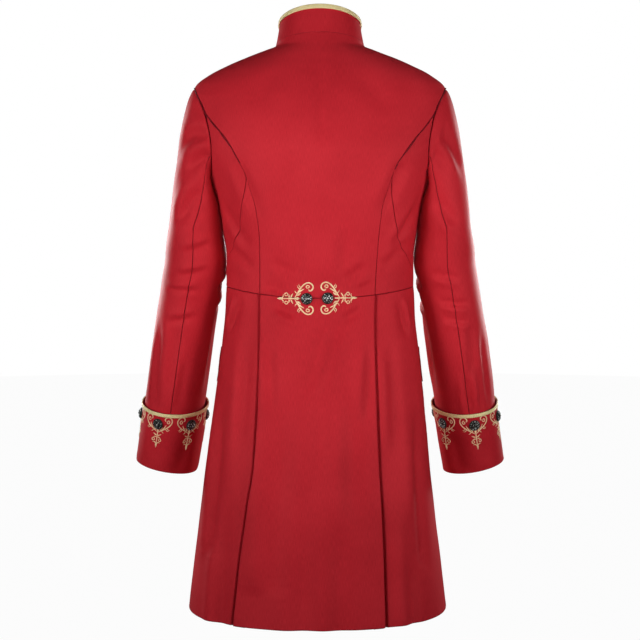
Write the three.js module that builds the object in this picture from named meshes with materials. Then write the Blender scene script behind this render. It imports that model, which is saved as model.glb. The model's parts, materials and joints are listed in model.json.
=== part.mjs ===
// Court jacket: a knee-length coat of heavy red satin in the hollow form it has when worn.
// Millimetres, +Z up. The front faces -Y and the wearer's left is +X. The origin is the middle of
// the neck, level with the points where the shoulder seams meet the collar.
//
// The body is one smooth surface, bodyPoint(angle, z): angle 0 is the centre back, +90 degrees the
// wearer's left side and 180 the centre front. Each piece is a patch of that surface between its
// seams, given a cloth wall, with a small gap at every seam.

import * as THREE from "three";

const cloth = 2.0; // cloth with its backing
const seamGap = 0.3;
const degrees = Math.PI / 180;

// The body from collar to hem: half width, depth behind and in front of the side line, and how
// square the section is (2 is an ellipse).
const bodySections = [
  { z: 18, halfWidth: 72, back: 60, front: 10, square: 2.0 },
  { z: 0, halfWidth: 74, back: 67, front: 10, square: 2.0 },
  { z: -8, halfWidth: 93, back: 71, front: 24, square: 2.0 },
  { z: -18, halfWidth: 120, back: 76, front: 40, square: 2.0 },
  { z: -28, halfWidth: 144, back: 80, front: 55, square: 2.05 },
  { z: -34, halfWidth: 157, back: 83, front: 63, square: 2.05 },
  { z: -48, halfWidth: 185, back: 89, front: 70, square: 2.1 },
  { z: -69, halfWidth: 210, back: 97, front: 79, square: 2.2 },
  { z: -90, halfWidth: 216, back: 103, front: 90, square: 2.3 },
  { z: -130, halfWidth: 214, back: 112, front: 107, square: 2.3 },
  { z: -180, halfWidth: 203, back: 118, front: 123, square: 2.3 },
  { z: -226, halfWidth: 184, back: 117, front: 130, square: 2.3 },
  { z: -259, halfWidth: 172, back: 114, front: 130, square: 2.3 },
  { z: -310, halfWidth: 163, back: 106, front: 124, square: 2.25 },
  { z: -354, halfWidth: 157.5, back: 99, front: 117, square: 2.2 },
  { z: -400, halfWidth: 157.5, back: 95, front: 112, square: 2.2 },
  { z: -420, halfWidth: 158.5, back: 96, front: 112, square: 2.2 },
  { z: -456, halfWidth: 160.5, back: 101, front: 114, square: 2.2 },
  { z: -497, halfWidth: 164.5, back: 108, front: 118, square: 2.2 },
  { z: -538, halfWidth: 169.5, back: 115, front: 122, square: 2.2 },
  { z: -599, halfWidth: 176.5, back: 124, front: 128, square: 2.2 },
  { z: -701, halfWidth: 188.5, back: 138, front: 138, square: 2.2 },
  { z: -803, halfWidth: 200.5, back: 151, front: 149, square: 2.2 },
  { z: -905, halfWidth: 213, back: 162, front: 158, square: 2.2 },
  { z: -960, halfWidth: 219, back: 168, front: 163, square: 2.2 },
];

// The neck seam: half its width, its height above the origin behind and its drop in front.
const neck = { halfWidth: 74, rise: 18, drop: 34 };
const shoulderFall = 1.35; // above 1 the shoulder seam falls away faster towards the arm
const waistSide = -404; // the waist seam at the sides
const waistDip = { back: 16, front: 8 };
const hemLevel = -948;

// The armhole: a smooth loop from the shoulder point down the back, under the arm and up the front.
// Back and front are degrees round the body; fullness below 1 makes the loop squarer.
const armhole = { top: -71, bottom: -226, back: 33, front: 36, fullness: 0.85 };
const armholeStops = { back: 64, sleeveBack: 120, underarm: 180, sleeveFront: 245 }; // round the loop

// The back seam, and the pleat edge that carries it on below the waist: distance from the centre.
const backSeam = [
  { z: -115, left: 190, right: 190 },
  { z: -127, left: 181, right: 182 },
  { z: -139, left: 171, right: 173 },
  { z: -161, left: 153, right: 154 },
  { z: -188, left: 137, right: 135 },
  { z: -215, left: 124, right: 120 },
  { z: -250, left: 113, right: 109 },
  { z: -276, left: 105, right: 101 },
  { z: -317, left: 99, right: 96 },
  { z: -377, left: 98.5, right: 92 },
  { z: -420, left: 98.5, right: 90 },
  { z: -467, left: 98.5, right: 89 },
  { z: -567, left: 99.5, right: 92 },
  { z: -689, left: 103, right: 99 },
  { z: -760, left: 113, right: 104 },
  { z: -834, left: 124, right: 107 },
  { z: -948, left: 137, right: 110 },
];
const goreTip = -214; // the gore starts at this height on the back seam
const goreLeast = 0.5; // degrees, the gore's least width just below its tip

// The far seam of the gore, as an angle round the body.
const goreSeam = [
  { z: -222, left: 37.5, right: 36.5 },
  { z: -275, left: 47, right: 43 },
  { z: -314, left: 54.5, right: 49.5 },
  { z: -332, left: 62, right: 55 },
  { z: -352, left: 73, right: 65 },
  { z: -378, left: 84, right: 78 },
  { z: -410, left: 92, right: 89 },
];
const underarmSeam = [
  { z: -226, angle: 90 },
  { z: -300, angle: 103 },
  { z: -410, angle: 110 },
  { z: -960, angle: 110 },
];

const tipShare = 0.6; // pieces that run to a point stop this far up their last cell

const frontLap = 14; // each front passes the centre front by this much at the waist
const lapLift = 1.4; // the left front lies this far out and the right this far in
const lapBlend = 30;
const skirtGape = 18; // each skirt front stands back from the centre front at the hem

// The skirt's pleat edge: how far the back panel turns under it, how far the side panel tucks behind
// it, the fold's radius, where the side panel is back on the surface, and how deep each layer lies.
const pleat = { turnUnder: 18, tuck: 16, edge: 1.6, clear: 5, rise: 44, depthWaist: 3.6, depthHem: 6 };

// The stand collar. It leans in towards its top, and its ends stop gap degrees from the centre front.
const collar = {
  sideHeight: 40,
  backHeight: 45,
  frontHeight: 42,
  lean: 0.9,
  curve: 0.8,
  gap: 2.6,
  clear: 0.2,
  rows: [0, 0.3, 0.6],
};

// Cells along each seam. Pieces that share a seam share its cells, so their edges follow each other.
const cells = {
  lower: 8, // waist to gore tip
  upper: 6, // gore tip to armhole
  underarm: 7,
  armholeBack: 4,
  armholeToSeam: 3,
  armholeUnder: 4,
  armholeFront: 3,
  armholeRise: 6,
  shoulder: 5,
  backHalf: 9,
  front: 9,
  sideBody: 6,
  gore: 4,
  skirtDown: 13,
  skirtBackHalf: 9,
  skirtSide: 7,
  skirtFront: 8,
  flapDown: 4,
  flapRound: 6,
  collarRound: 28,
  sleeveCap: 5,
  sleeveDown: 8,
  cuffRound: 28,
};

// The arm below the armhole, as rings: centre, half width and half depth, how much the outer side
// is higher than the middle and how much the back is lower.
const armRings = [
  { z: -300, x: 212, y: -14, halfWidth: 44.2, halfDepth: 66, outerRise: 4, backDrop: 5 },
  { z: -355, x: 212.2, y: -20, halfWidth: 51.4, halfDepth: 63, outerRise: 6, backDrop: 9 },
  { z: -397, x: 219.5, y: -28, halfWidth: 50.2, halfDepth: 61, outerRise: 7, backDrop: 11 },
  { z: -501, x: 236.4, y: -45, halfWidth: 50.6, halfDepth: 58, outerRise: 7, backDrop: 13 },
  { z: -608, x: 252.6, y: -64, halfWidth: 50.8, halfDepth: 55.4, outerRise: 6, backDrop: 14 },
  { z: -660, x: 260.8, y: -72.5, halfWidth: 49.8, halfDepth: 53, outerRise: 7, backDrop: 10 },
  { z: -718, x: 269.7, y: -81.3, halfWidth: 49.2, halfDepth: 51.4, outerRise: 9.8, backDrop: 6 },
];
// The sleeve's back seam starts at its armhole stop and swings to the back of the arm, by length.
const sleeveSeam = [
  { z: 0, turn: 120 },
  { z: 0.45, turn: 113 },
  { z: 0.8, turn: 101 },
  { z: 1.05, turn: 91 },
  { z: 1.4, turn: 88 },
  { z: 2, turn: 87 },
];
// How the sleeve leaves the armhole and arrives at the first ring, at the top, the sides and below.
const capSharpness = 1.2;
const capLeave = { top: [62, 0, -50], side: [52, 0, -42], under: [20, 0, 14] };
const capArrive = { top: [16, 0, -170], side: [4, 0, -130], under: [-16, 0, -62] };

const sleeveSet = 1.8; // how far the sleeve's edge lies inside the armhole's

const cuffRings = [
  { z: -608, x: 251.9, y: -63, halfWidth: 54.9, halfDepth: 60, outerRise: 2.5, backDrop: 15 },
  { z: -663, x: 260.3, y: -72.5, halfWidth: 53.7, halfDepth: 57, outerRise: 6, backDrop: 10 },
  { z: -720, x: 269.9, y: -81.5, halfWidth: 52.4, halfDepth: 54, outerRise: 10, backDrop: 6 },
];
const cuffRows = [0.35, 0.68, 1]; // shares of the cuff's height, below its braid

const braid = { width: 6.5, thickness: 1.8, proud: 0.6 };
const pocketFlap = { top: -508, height: 60, from: 94, to: 132, thickness: 2.0, clear: 1.0 };

const button = { radius: 9.8, sides: 10, seat: 0.3, frontSeat: 0.75, hollowSeat: 1.4 };
const buttonProfile = [
  // radius as a share, height above the cloth
  { radius: 0.9, height: 0 },
  { radius: 1.0, height: 1.4 },
  { radius: 0.94, height: 3.0 },
  { radius: 0.62, height: 6.2 },
  { radius: 0.3, height: 7.4 },
];
const waistButtons = { left: [21.8, -421], right: [-12.4, -420] };
const cuffButtons = { count: 6, first: { left: 7, right: 21 }, below: 22 };
const frontButtons = { count: 7, top: -62, step: 55.5 };

const looks = {
  satin: { color: 0xb0242e, roughness: 0.45, metalness: 0.0 },
  braid: { color: 0xc9b063, roughness: 0.4, metalness: 0.6 },
  gem: { color: 0x1b211f, roughness: 0.15, metalness: 0.7 },
};

// ---------------------------------------------------------------- small helpers

function material(look) {
  return new THREE.MeshStandardMaterial(looks[look]);
}

function mix(a, b, t) {
  return a + (b - a) * t;
}

function ease(t) {
  const s = Math.min(1, Math.max(0, t));
  return s * s * (3 - 2 * s);
}

// The shares of a smooth curve's start, start direction, end and end direction at t.
function curveWeights(t) {
  const s = 1 - t;
  return [(1 + 2 * t) * s * s, t * s * s, t * t * (3 - 2 * t), -t * t * s];
}

// A smooth curve through a table's rows that never swings past them.
function through(rows, key, z) {
  const first = rows[0];
  const last = rows[rows.length - 1];
  const falling = first.z > last.z;
  const beyondFirst = falling ? z >= first.z : z <= first.z;
  const beyondLast = falling ? z <= last.z : z >= last.z;
  if (beyondFirst) return first[key];
  if (beyondLast) return last[key];
  const slope = (i) => (rows[i + 1][key] - rows[i][key]) / (rows[i + 1].z - rows[i].z);
  const tangent = (i) => {
    if (i === 0) return slope(0);
    if (i === rows.length - 1) return slope(i - 1);
    const before = slope(i - 1);
    const after = slope(i);
    return before * after <= 0 ? 0 : (2 * before * after) / (before + after);
  };
  let i = 0;
  while (falling ? rows[i + 1].z > z : rows[i + 1].z < z) i += 1;
  const span = rows[i + 1].z - rows[i].z;
  const [start, leave, end, arrive] = curveWeights((z - rows[i].z) / span);
  const values = start * rows[i][key] + end * rows[i + 1][key];
  return values + span * (leave * tangent(i) + arrive * tangent(i + 1));
}

// ---------------------------------------------------------------- the body surface

function bodyPoint(angle, z) {
  const power = 2 / through(bodySections, "square", z);
  const s = Math.sin(angle);
  const c = Math.cos(angle);
  const depth = through(bodySections, c > 0 ? "back" : "front", z);
  const x = Math.sign(s) * through(bodySections, "halfWidth", z) * Math.abs(s) ** power;
  return new THREE.Vector3(x, Math.sign(c) * depth * Math.abs(c) ** power, z);
}

function bodyNormal(angle, z) {
  const turn = 0.8 * degrees;
  const lift = 1.5;
  const round = bodyPoint(angle + turn, z).sub(bodyPoint(angle - turn, z));
  const up = bodyPoint(angle, z + lift).sub(bodyPoint(angle, z - lift));
  return up.cross(round).normalize();
}

// The angle at which the surface is a given distance from the centre line, on the back.
function angleAt(x, z) {
  const share = Math.min(1, Math.abs(x) / through(bodySections, "halfWidth", z));
  return Math.sign(x) * Math.asin(share ** (through(bodySections, "square", z) / 2));
}

// The same near the centre front, on the left side, where x may be a little past the centre.
function frontAngleAt(x, z) {
  return Math.PI - angleAt(x, z);
}

// A point of the neck seam as [angle, z]; turn 0 is the centre back and 180 the centre front.
function neckPoint(turn) {
  const x = neck.halfWidth * Math.sin(turn * degrees);
  const c = Math.cos(turn * degrees);
  const z = c > 0 ? neck.rise * c : neck.drop * c;
  return [c > 0 ? angleAt(x, z) : frontAngleAt(x, z), z];
}

function waistLevel(angle) {
  const c = Math.cos(angle);
  return waistSide - (c > 0 ? waistDip.back : waistDip.front) * c * c;
}

// A point of the armhole loop as [angle, z]; turn 0 is the shoulder point, 180 under the arm.
function armholePoint(turn) {
  const t = turn * degrees;
  const middle = (armhole.top + armhole.bottom) / 2;
  const half = (armhole.top - armhole.bottom) / 2;
  const s = Math.sin(t);
  const reach = s > 0 ? armhole.back : armhole.front;
  const across = reach * Math.sign(s) * Math.abs(s) ** armhole.fullness;
  return [(90 - across) * degrees, middle + half * Math.cos(t)];
}

function steps(count, from, to) {
  return Array.from({ length: count + 1 }, (_, i) => mix(from, to, i / count));
}

// The turns of the armhole loop where pieces have their corners and cells.
const armholeTurns = {
  back: steps(cells.armholeBack, 0, armholeStops.back),
  side: [
    ...steps(cells.armholeToSeam, armholeStops.back, armholeStops.sleeveBack),
    ...steps(cells.armholeUnder, armholeStops.sleeveBack, armholeStops.underarm).slice(1),
  ],
  front: [
    ...steps(cells.armholeFront, armholeStops.underarm, armholeStops.sleeveFront),
    ...steps(cells.armholeRise, armholeStops.sleeveFront, 360).slice(1),
  ],
};

// ---------------------------------------------------------------- seams
// Each seam is a list of [angle, z] on the left side.

function backSeamPoint(side, z) {
  return [angleAt(through(backSeam, side, z), z), z];
}

function waistOn(place) {
  let z = waistSide;
  for (let i = 0; i < 6; i += 1) z = waistLevel(place(z));
  return [place(z), z];
}

// The back seam from waist to gore tip, then on to the armhole.
function backSeamLine(side) {
  const bottom = waistOn((z) => backSeamPoint(side, z)[0])[1];
  const corner = armholePoint(armholeStops.back);
  const lower = steps(cells.lower, bottom, goreTip).map((z) => backSeamPoint(side, z));
  const upper = steps(cells.upper, goreTip, corner[1]).map((z) => backSeamPoint(side, z));
  return [...lower, ...upper.slice(1, -1), corner];
}

// The far seam of the gore from the waist to the gore tip, then the back seam on to the armhole.
function goreSeamLine(side) {
  const bottom = waistOn((z) => through(goreSeam, side, z) * degrees)[1];
  const back = backSeamLine(side);
  const tip = back[cells.lower];
  const lower = steps(cells.lower, bottom, goreTip).map((z, i) => {
    if (i === cells.lower) return tip;
    const place = through(goreSeam, side, z) * degrees;
    const edge = backSeamPoint(side, z)[0];
    return [Math.max(place, edge + goreLeast * degrees), z];
  });
  return [...lower, ...back.slice(cells.lower + 1)];
}

function underarmLine() {
  const bottom = waistOn((z) => through(underarmSeam, "angle", z) * degrees)[1];
  const top = armholePoint(armholeStops.underarm);
  return steps(cells.underarm, bottom, top[1]).map((z) => [through(underarmSeam, "angle", z) * degrees, z]);
}

function waistLine(from, to, count) {
  return steps(count, from, to).map((angle) => [angle, waistLevel(angle)]);
}

// The shoulder seam, from the shoulder point up to the neck.
function shoulderLine() {
  return steps(cells.shoulder, 0, 1).map((t) => [90 * degrees, armhole.top * (1 - t) ** shoulderFall]);
}

// The neck seam between two turns round the neck.
function neckLine(from, to, count) {
  return steps(count, from, to).map(neckPoint);
}

// Stops two edges that meet in a point just short of it, where the piece is still wide enough.
function shortOfTip(line) {
  const last = line.length - 1;
  return [...line.slice(0, last), [0, 1].map((k) => mix(line[last - 1][k], line[last][k], tipShare))];
}

function straight(from, to, count) {
  return steps(count, 0, 1).map((t) => [0, 1].map((k) => mix(from[k], to[k], t)));
}

// ---------------------------------------------------------------- patches and walls

// Fills the space between four edges. Each edge is a list of [angle, z]; rows run bottom to top.
function patch({ bottom, top, left, right }) {
  const columns = bottom.length - 1;
  const rows = left.length - 1;
  return left.map((_, r) => {
    const v = r / rows;
    return bottom.map((_, c) => {
      const u = c / columns;
      return [0, 1].map((k) => {
        const upright = mix(bottom[c][k], top[c][k], v);
        const across = mix(left[r][k], right[r][k], u);
        const low = mix(bottom[0][k], bottom[columns][k], u);
        const high = mix(top[0][k], top[columns][k], u);
        return upright + across - mix(low, high, v);
      });
    });
  });
}

// Places a grid of [angle, z, lift, roll] on the body, mirrored for the right side. Roll turns the cloth
// over in degrees, as where it folds under.
function onBody(grid, side) {
  const flip = side === "right" ? -1 : 1;
  const points = grid.map((row) =>
    row.map(([angle, z, lift = 0, roll = 0]) => {
      const outward = bodyNormal(angle, z);
      const point = bodyPoint(angle, z).addScaledVector(outward, lift);
      const around = bodyPoint(angle + degrees, z).sub(bodyPoint(angle - degrees, z)).normalize();
      const normal = outward.multiplyScalar(Math.cos(roll * degrees));
      normal.addScaledVector(around, Math.sin(roll * degrees));
      point.x *= flip;
      normal.x *= flip;
      return { point, normal };
    })
  );
  return flip < 0 ? points.map((row) => row.reverse()) : points;
}

// Draws the edges of a grid in by half a seam gap, square to each edge.
function seamed(grid) {
  const rows = grid.length;
  const columns = grid[0].length;
  const at = (r, c) => grid[Math.min(rows - 1, Math.max(0, r))][Math.min(columns - 1, Math.max(0, c))];
  const upwards = (r, c) => at(r, c + 1).point.clone().sub(at(r, c - 1).point).cross(grid[r][c].normal);
  const onwards = (r, c) => at(r - 1, c).point.clone().sub(at(r + 1, c).point).cross(grid[r][c].normal);
  return grid.map((row, r) =>
    row.map((cell, c) => {
      const point = cell.point.clone();
      const draw = (direction, sign) => point.add(direction.setLength((sign * seamGap) / 2));
      if (r === 0) draw(upwards(r, c), 1);
      if (r === rows - 1) draw(upwards(r, c), -1);
      if (c === 0) draw(onwards(r, c), 1);
      if (c === columns - 1) draw(onwards(r, c), -1);
      return { point, normal: cell.normal };
    })
  );
}

// A closed wall round a grid of points: faces on both sides, and a rim round every open edge.
function wall(grid, thickness, closedRound = false) {
  const rows = grid.length;
  const columns = grid[0].length;
  const positions = [];
  for (const half of [thickness / 2, -thickness / 2]) {
    for (const row of grid) {
      for (const { point, normal } of row) {
        const p = point.clone().addScaledVector(normal, half);
        positions.push(p.x, p.y, p.z);
      }
    }
  }
  const outer = (r, c) => r * columns + (c % columns);
  const inner = (r, c) => rows * columns + outer(r, c);
  const faces = [];
  const apart = (a, b) => Math.hypot(...[0, 1, 2].map((k) => positions[3 * a + k] - positions[3 * b + k]));
  const quad = (a, b, c, d) => {
    if (apart(a, c) < apart(b, d) - 0.01) faces.push(a, b, c, a, c, d);
    else faces.push(b, c, d, b, d, a);
  };
  const lastColumn = closedRound ? columns : columns - 1;
  for (let r = 0; r < rows - 1; r += 1) {
    for (let c = 0; c < lastColumn; c += 1) {
      quad(outer(r, c), outer(r + 1, c), outer(r + 1, c + 1), outer(r, c + 1));
      quad(inner(r, c), inner(r, c + 1), inner(r + 1, c + 1), inner(r + 1, c));
    }
  }
  for (let c = 0; c < lastColumn; c += 1) {
    quad(outer(0, c), outer(0, c + 1), inner(0, c + 1), inner(0, c));
    quad(inner(rows - 1, c), inner(rows - 1, c + 1), outer(rows - 1, c + 1), outer(rows - 1, c));
  }
  if (!closedRound) {
    for (let r = 0; r < rows - 1; r += 1) {
      quad(inner(r, 0), inner(r + 1, 0), outer(r + 1, 0), outer(r, 0));
      const end = columns - 1;
      quad(outer(r, end), outer(r + 1, end), inner(r + 1, end), inner(r, end));
    }
  }
  const geometry = new THREE.BufferGeometry();
  geometry.setAttribute("position", new THREE.Float32BufferAttribute(positions, 3));
  geometry.setIndex(faces);
  geometry.computeVertexNormals();
  return geometry;
}

const jacket = new THREE.Group();

function addMesh(name, geometry, look) {
  const mesh = new THREE.Mesh(geometry, material(look));
  mesh.name = name;
  jacket.add(mesh);
  return mesh;
}

function addCloth(name, grid, look = "satin", thickness = cloth) {
  addMesh(name, wall(grid, thickness), look);
}

// ---------------------------------------------------------------- bodice

function backBody() {
  const half = (side) => {
    const hole = armholeTurns.back.map(armholePoint).reverse();
    const right = [...backSeamLine(side), ...hole.slice(1), ...shoulderLine().slice(1)];
    const left = straight([0, waistLevel(0)], [0, neck.rise], right.length - 1);
    const top = neckLine(0, 90, cells.backHalf);
    const bottom = waistLine(0, right[0][0], cells.backHalf);
    return onBody(patch({ bottom, top, left, right }), side);
  };
  const right = half("right");
  const left = half("left");
  return right.map((row, r) => [...row, ...left[r].slice(1)]);
}

function gore(side) {
  const left = shortOfTip(backSeamLine(side).slice(0, cells.lower + 1));
  const right = shortOfTip(goreSeamLine(side).slice(0, cells.lower + 1));
  const top = straight(left[cells.lower], right[cells.lower], cells.gore);
  const bottom = waistLine(left[0][0], right[0][0], cells.gore);
  return onBody(patch({ bottom, top, left, right }), side);
}

// From the gore and the back seam round to the underarm seam and the back of the armhole.
function sideBody(side) {
  const hole = armholeTurns.side.map(armholePoint).reverse();
  const left = shortOfTip(goreSeamLine(side));
  const right = shortOfTip([...underarmLine(), ...hole.slice(1)]);
  const top = straight(left[left.length - 1], right[right.length - 1], cells.sideBody);
  const bottom = waistLine(left[0][0], right[0][0], cells.sideBody);
  return onBody(patch({ bottom, top, left, right }), side);
}

// How far a front lies out or in near the centre, so that the left laps over the right.
function lapOffset(side, angle, z) {
  const near = bodyPoint(angle, z).x;
  const share = ease((lapBlend + frontLap - near) / lapBlend);
  return (side === "left" ? lapLift : -lapLift) * share;
}

function withLap(grid, side) {
  return grid.map((row) => row.map(([angle, z]) => [angle, z, lapOffset(side, angle, z)]));
}

// A line up the front at a distance from the centre, from the waist seam to the neck seam.
function frontLine(x, count) {
  const bottom = waistOn((z) => frontAngleAt(x, z))[1];
  const top = neckPoint(neckTurnAt(x))[1];
  return steps(count, bottom, top).map((z) => [frontAngleAt(x, z), z]);
}

function neckTurnAt(x) {
  return 180 - Math.asin(x / neck.halfWidth) / degrees;
}

function frontBody(side) {
  const hole = armholeTurns.front.map(armholePoint);
  const left = [...underarmLine(), ...hole.slice(1), ...shoulderLine().slice(1)];
  const count = left.length - 1;
  const right = frontLine(frontLap, count);
  const top = neckLine(90, neckTurnAt(frontLap), cells.front);
  const bottom = waistLine(left[0][0], right[0][0], cells.front);
  const main = patch({ bottom, top, left, right });
  const centre = frontLine(0, count);
  const edge = frontLine(-frontLap, count);
  return onBody(withLap(main.map((row, r) => [...row, centre[r], edge[r]]), side), side);
}

// ---------------------------------------------------------------- skirt

function pleatDepth(z) {
  return mix(pleat.depthWaist, pleat.depthHem, (waistSide - z) / (waistSide - hemLevel));
}

// One row of the skirt runs round the body at a share of the way from the hem to the waist seam.
function skirtRow(columns, share) {
  return columns.map(({ angleOf, lift = () => 0, roll = 0 }) => {
    const [, top] = waistOn(angleOf);
    const z = mix(hemLevel, top, share);
    return [angleOf(z), z, lift(z), roll];
  });
}

function skirtGrid(columns, side) {
  return onBody(steps(cells.skirtDown, 0, 1).map((share) => skirtRow(columns, share)), side);
}

function beyondPleat(side, distance) {
  return (z) => angleAt(through(backSeam, side, z) + distance, z);
}

function skirtBackColumns(side) {
  const main = steps(cells.skirtBackHalf, 0, 1).map((t) => ({
    angleOf: (z) => angleAt(t * (through(backSeam, side, z) - pleat.edge), z),
  }));
  const under = (z) => -pleatDepth(z);
  return [
    ...main,
    { angleOf: beyondPleat(side, 0), lift: (z) => under(z) / 2, roll: 90 },
    { angleOf: beyondPleat(side, -pleat.edge), lift: under, roll: 180 },
    { angleOf: beyondPleat(side, -pleat.turnUnder / 2), lift: under, roll: 180 },
    { angleOf: beyondPleat(side, -pleat.turnUnder), lift: under, roll: 180 },
  ];
}

function skirtBack() {
  const right = skirtGrid(skirtBackColumns("right"), "right");
  const left = skirtGrid(skirtBackColumns("left"), "left");
  return right.map((row, r) => [...row, ...left[r].slice(1)]);
}

function skirtSide(side) {
  const deep = (z) => -2 * pleatDepth(z);
  const sideSeam = (z) => through(underarmSeam, "angle", z) * degrees;
  const clear = beyondPleat(side, pleat.rise);
  const main = steps(cells.skirtSide, 0, 1).map((t) => ({ angleOf: (z) => mix(clear(z), sideSeam(z), t) }));
  const columns = [
    { angleOf: beyondPleat(side, -pleat.tuck), lift: deep },
    { angleOf: beyondPleat(side, pleat.clear), lift: deep },
    { angleOf: beyondPleat(side, pleat.rise / 2), lift: (z) => deep(z) / 2 },
    ...main,
  ];
  return skirtGrid(columns, side);
}

function skirtFront(side) {
  const sideSeam = (z) => through(underarmSeam, "angle", z) * degrees;
  const share = (z) => (waistSide - z) / (waistSide - hemLevel);
  const lineAt = (x) => (z) => frontAngleAt(mix(x, x + frontLap + skirtGape, share(z)), z);
  const near = lineAt(frontLap);
  const main = steps(cells.skirtFront, 0, 1).map((t) => (z) => mix(sideSeam(z), near(z), t));
  const columns = [...main, lineAt(0), lineAt(-frontLap)].map((angleOf) => ({
    angleOf,
    lift: (z) => lapOffset(side, angleOf(z), z),
  }));
  return skirtGrid(columns, side);
}

// A flap that lies on the skirt, made from the skirt's points moved out.
function pocketFlapGrid(side) {
  const lift = cloth / 2 + pocketFlap.clear + pocketFlap.thickness / 2;
  const rows = steps(cells.flapDown, pocketFlap.top - pocketFlap.height, pocketFlap.top);
  const turns = steps(cells.flapRound, pocketFlap.from * degrees, pocketFlap.to * degrees);
  return onBody(rows.map((z) => turns.map((angle) => [angle, z, lift])), side);
}

// ---------------------------------------------------------------- collar

// The collar stands on the neck seam, just above the body's cloth.
function collarPoint(turn, share) {
  const side = Math.sign(turn) || 1;
  const [angle, z] = neckPoint(Math.abs(turn));
  const base = bodyPoint(angle, z);
  const c = Math.cos(turn * degrees);
  const clear = (cloth / 2) * bodyNormal(angle, z).z + collar.clear + lapLift * Math.max(0, -c);
  const height = mix(collar.sideHeight, c > 0 ? collar.backHeight : collar.frontHeight, c * c);
  const scale = mix(1, collar.lean, Math.max(0, share) ** collar.curve);
  return new THREE.Vector3(side * base.x * scale, base.y * scale, base.z + clear + height * share);
}

function collarCell(turn, share, lift = 0) {
  const small = 0.8;
  const round = collarPoint(turn + small, share).sub(collarPoint(turn - small, share));
  const up = collarPoint(turn, share + 0.01).sub(collarPoint(turn, share));
  const normal = up.cross(round).normalize();
  return { point: collarPoint(turn, share).addScaledVector(normal, lift), normal };
}

function collarGrid(shares, lift = 0) {
  const end = 180 - collar.gap;
  const turns = steps(cells.collarRound, -end, end);
  return shares.map((share) => turns.map((turn) => collarCell(turn, share, lift)));
}

// ---------------------------------------------------------------- sleeves and cuffs

function ringPoint(rings, z, turn) {
  const t = turn * degrees;
  const value = (key) => through(rings, key, z);
  return new THREE.Vector3(
    value("x") + value("halfWidth") * Math.cos(t),
    value("y") + value("halfDepth") * Math.sin(t),
    z + value("outerRise") * Math.cos(t) - value("backDrop") * Math.sin(t)
  );
}

// The direction table's value for a turn: top, side or under the arm.
function capVector(table, turn) {
  const c = Math.cos(turn * degrees);
  const towards = c > 0 ? table.top : table.under;
  const share = Math.abs(c) ** capSharpness;
  return new THREE.Vector3(...table.side.map((value, k) => mix(value, towards[k], share)));
}

// The sleeve surface on the left: length 0 is the armhole, 1 the first ring, and beyond 1 the arm.
function sleevePoint(turn, length) {
  const first = armRings[0].z;
  const last = armRings[armRings.length - 1].z;
  if (length >= 1) return ringPoint(armRings, mix(first, last, length - 1), turn);
  const [angle, z] = armholePoint(turn);
  const start = bodyPoint(angle, z).add(holeStep(turn));
  const end = ringPoint(armRings, first, turn);
  const weights = curveWeights(length);
  return new THREE.Vector3()
    .addScaledVector(start, weights[0])
    .addScaledVector(capVector(capLeave, turn), weights[1])
    .addScaledVector(end, weights[2])
    .addScaledVector(capVector(capArrive, turn), weights[3]);
}

// The step from the armhole's edge into the hole, so that the sleeve's edge clears the body's.
function holeStep(turn) {
  const small = 1.5;
  const [a0, z0] = armholePoint(turn - small);
  const [a1, z1] = armholePoint(turn + small);
  const [angle, z] = armholePoint(turn);
  const along = bodyPoint(a1, z1).sub(bodyPoint(a0, z0));
  const normal = bodyNormal(angle, z);
  return along.cross(normal).normalize().multiplyScalar(sleeveSet);
}

function surfaceCell(pointAt, turn, length, lift = 0) {
  const small = 0.8;
  const step = 0.004;
  const round = pointAt(turn + small, length).sub(pointAt(turn - small, length));
  const down = pointAt(turn, length + step).sub(pointAt(turn, Math.max(0, length - step)));
  const normal = down.cross(round).normalize();
  return { point: pointAt(turn, length).addScaledVector(normal, lift), normal };
}

function mirrored(grid, side) {
  if (side === "left") return grid;
  return grid.map((row) =>
    row
      .map(({ point, normal }) => ({
        point: new THREE.Vector3(-point.x, point.y, point.z),
        normal: new THREE.Vector3(-normal.x, normal.y, normal.z),
      }))
      .reverse()
  );
}

// A stop round the armhole, carried down the arm: the stops shift with the back seam, and the front
// seam stays where it is.
function carriedTurn(turn, length) {
  const { sleeveBack, sleeveFront } = armholeStops;
  const shift = through(sleeveSeam, "turn", length) - sleeveBack;
  const nearest = turn > sleeveBack ? sleeveFront : sleeveFront - 360;
  return turn + (shift * (turn - nearest)) / (sleeveBack - nearest);
}

function sleeve(side, turns) {
  const lengths = [...steps(cells.sleeveCap, 0, 1), ...steps(cells.sleeveDown, 1, 2).slice(1)];
  const cell = (turn, length) => surfaceCell(sleevePoint, carriedTurn(turn, length), length);
  const rows = lengths.map((length) => turns.map((turn) => cell(turn, length)));
  return mirrored(seamed(rows.reverse().map((row) => row.reverse())), side);
}

const backPart = armholeTurns.back;
const seamPart = armholeTurns.side.slice(0, cells.armholeToSeam + 1);
const underPart = armholeTurns.side.slice(cells.armholeToSeam);
const frontPart = armholeTurns.front.slice(0, cells.armholeFront + 1);
const risePart = armholeTurns.front.slice(cells.armholeFront);
const upperTurns = [...risePart.slice(0, -1).map((turn) => turn - 360), ...backPart, ...seamPart.slice(1)];
const underTurns = [...underPart, ...frontPart.slice(1)];

// The cuff on the left: length 0 is its top edge and 1 its hem.
function cuffPoint(turn, length) {
  const top = cuffRings[0].z;
  const hem = cuffRings[cuffRings.length - 1].z;
  return ringPoint(cuffRings, mix(top, hem, length), turn);
}

function cuffGrid(side, lengths, lift = 0, proud = 0) {
  const turns = steps(cells.cuffRound, 0, 360).slice(0, -1);
  const rows = lengths.map((length, i) =>
    turns.map((turn) => {
      const cell = surfaceCell(cuffPoint, turn, length, lift);
      if (i === 0) cell.point.z += proud;
      return cell;
    })
  );
  return mirrored(rows.reverse().map((row) => row.reverse()), side);
}

// ---------------------------------------------------------------- buttons

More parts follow.
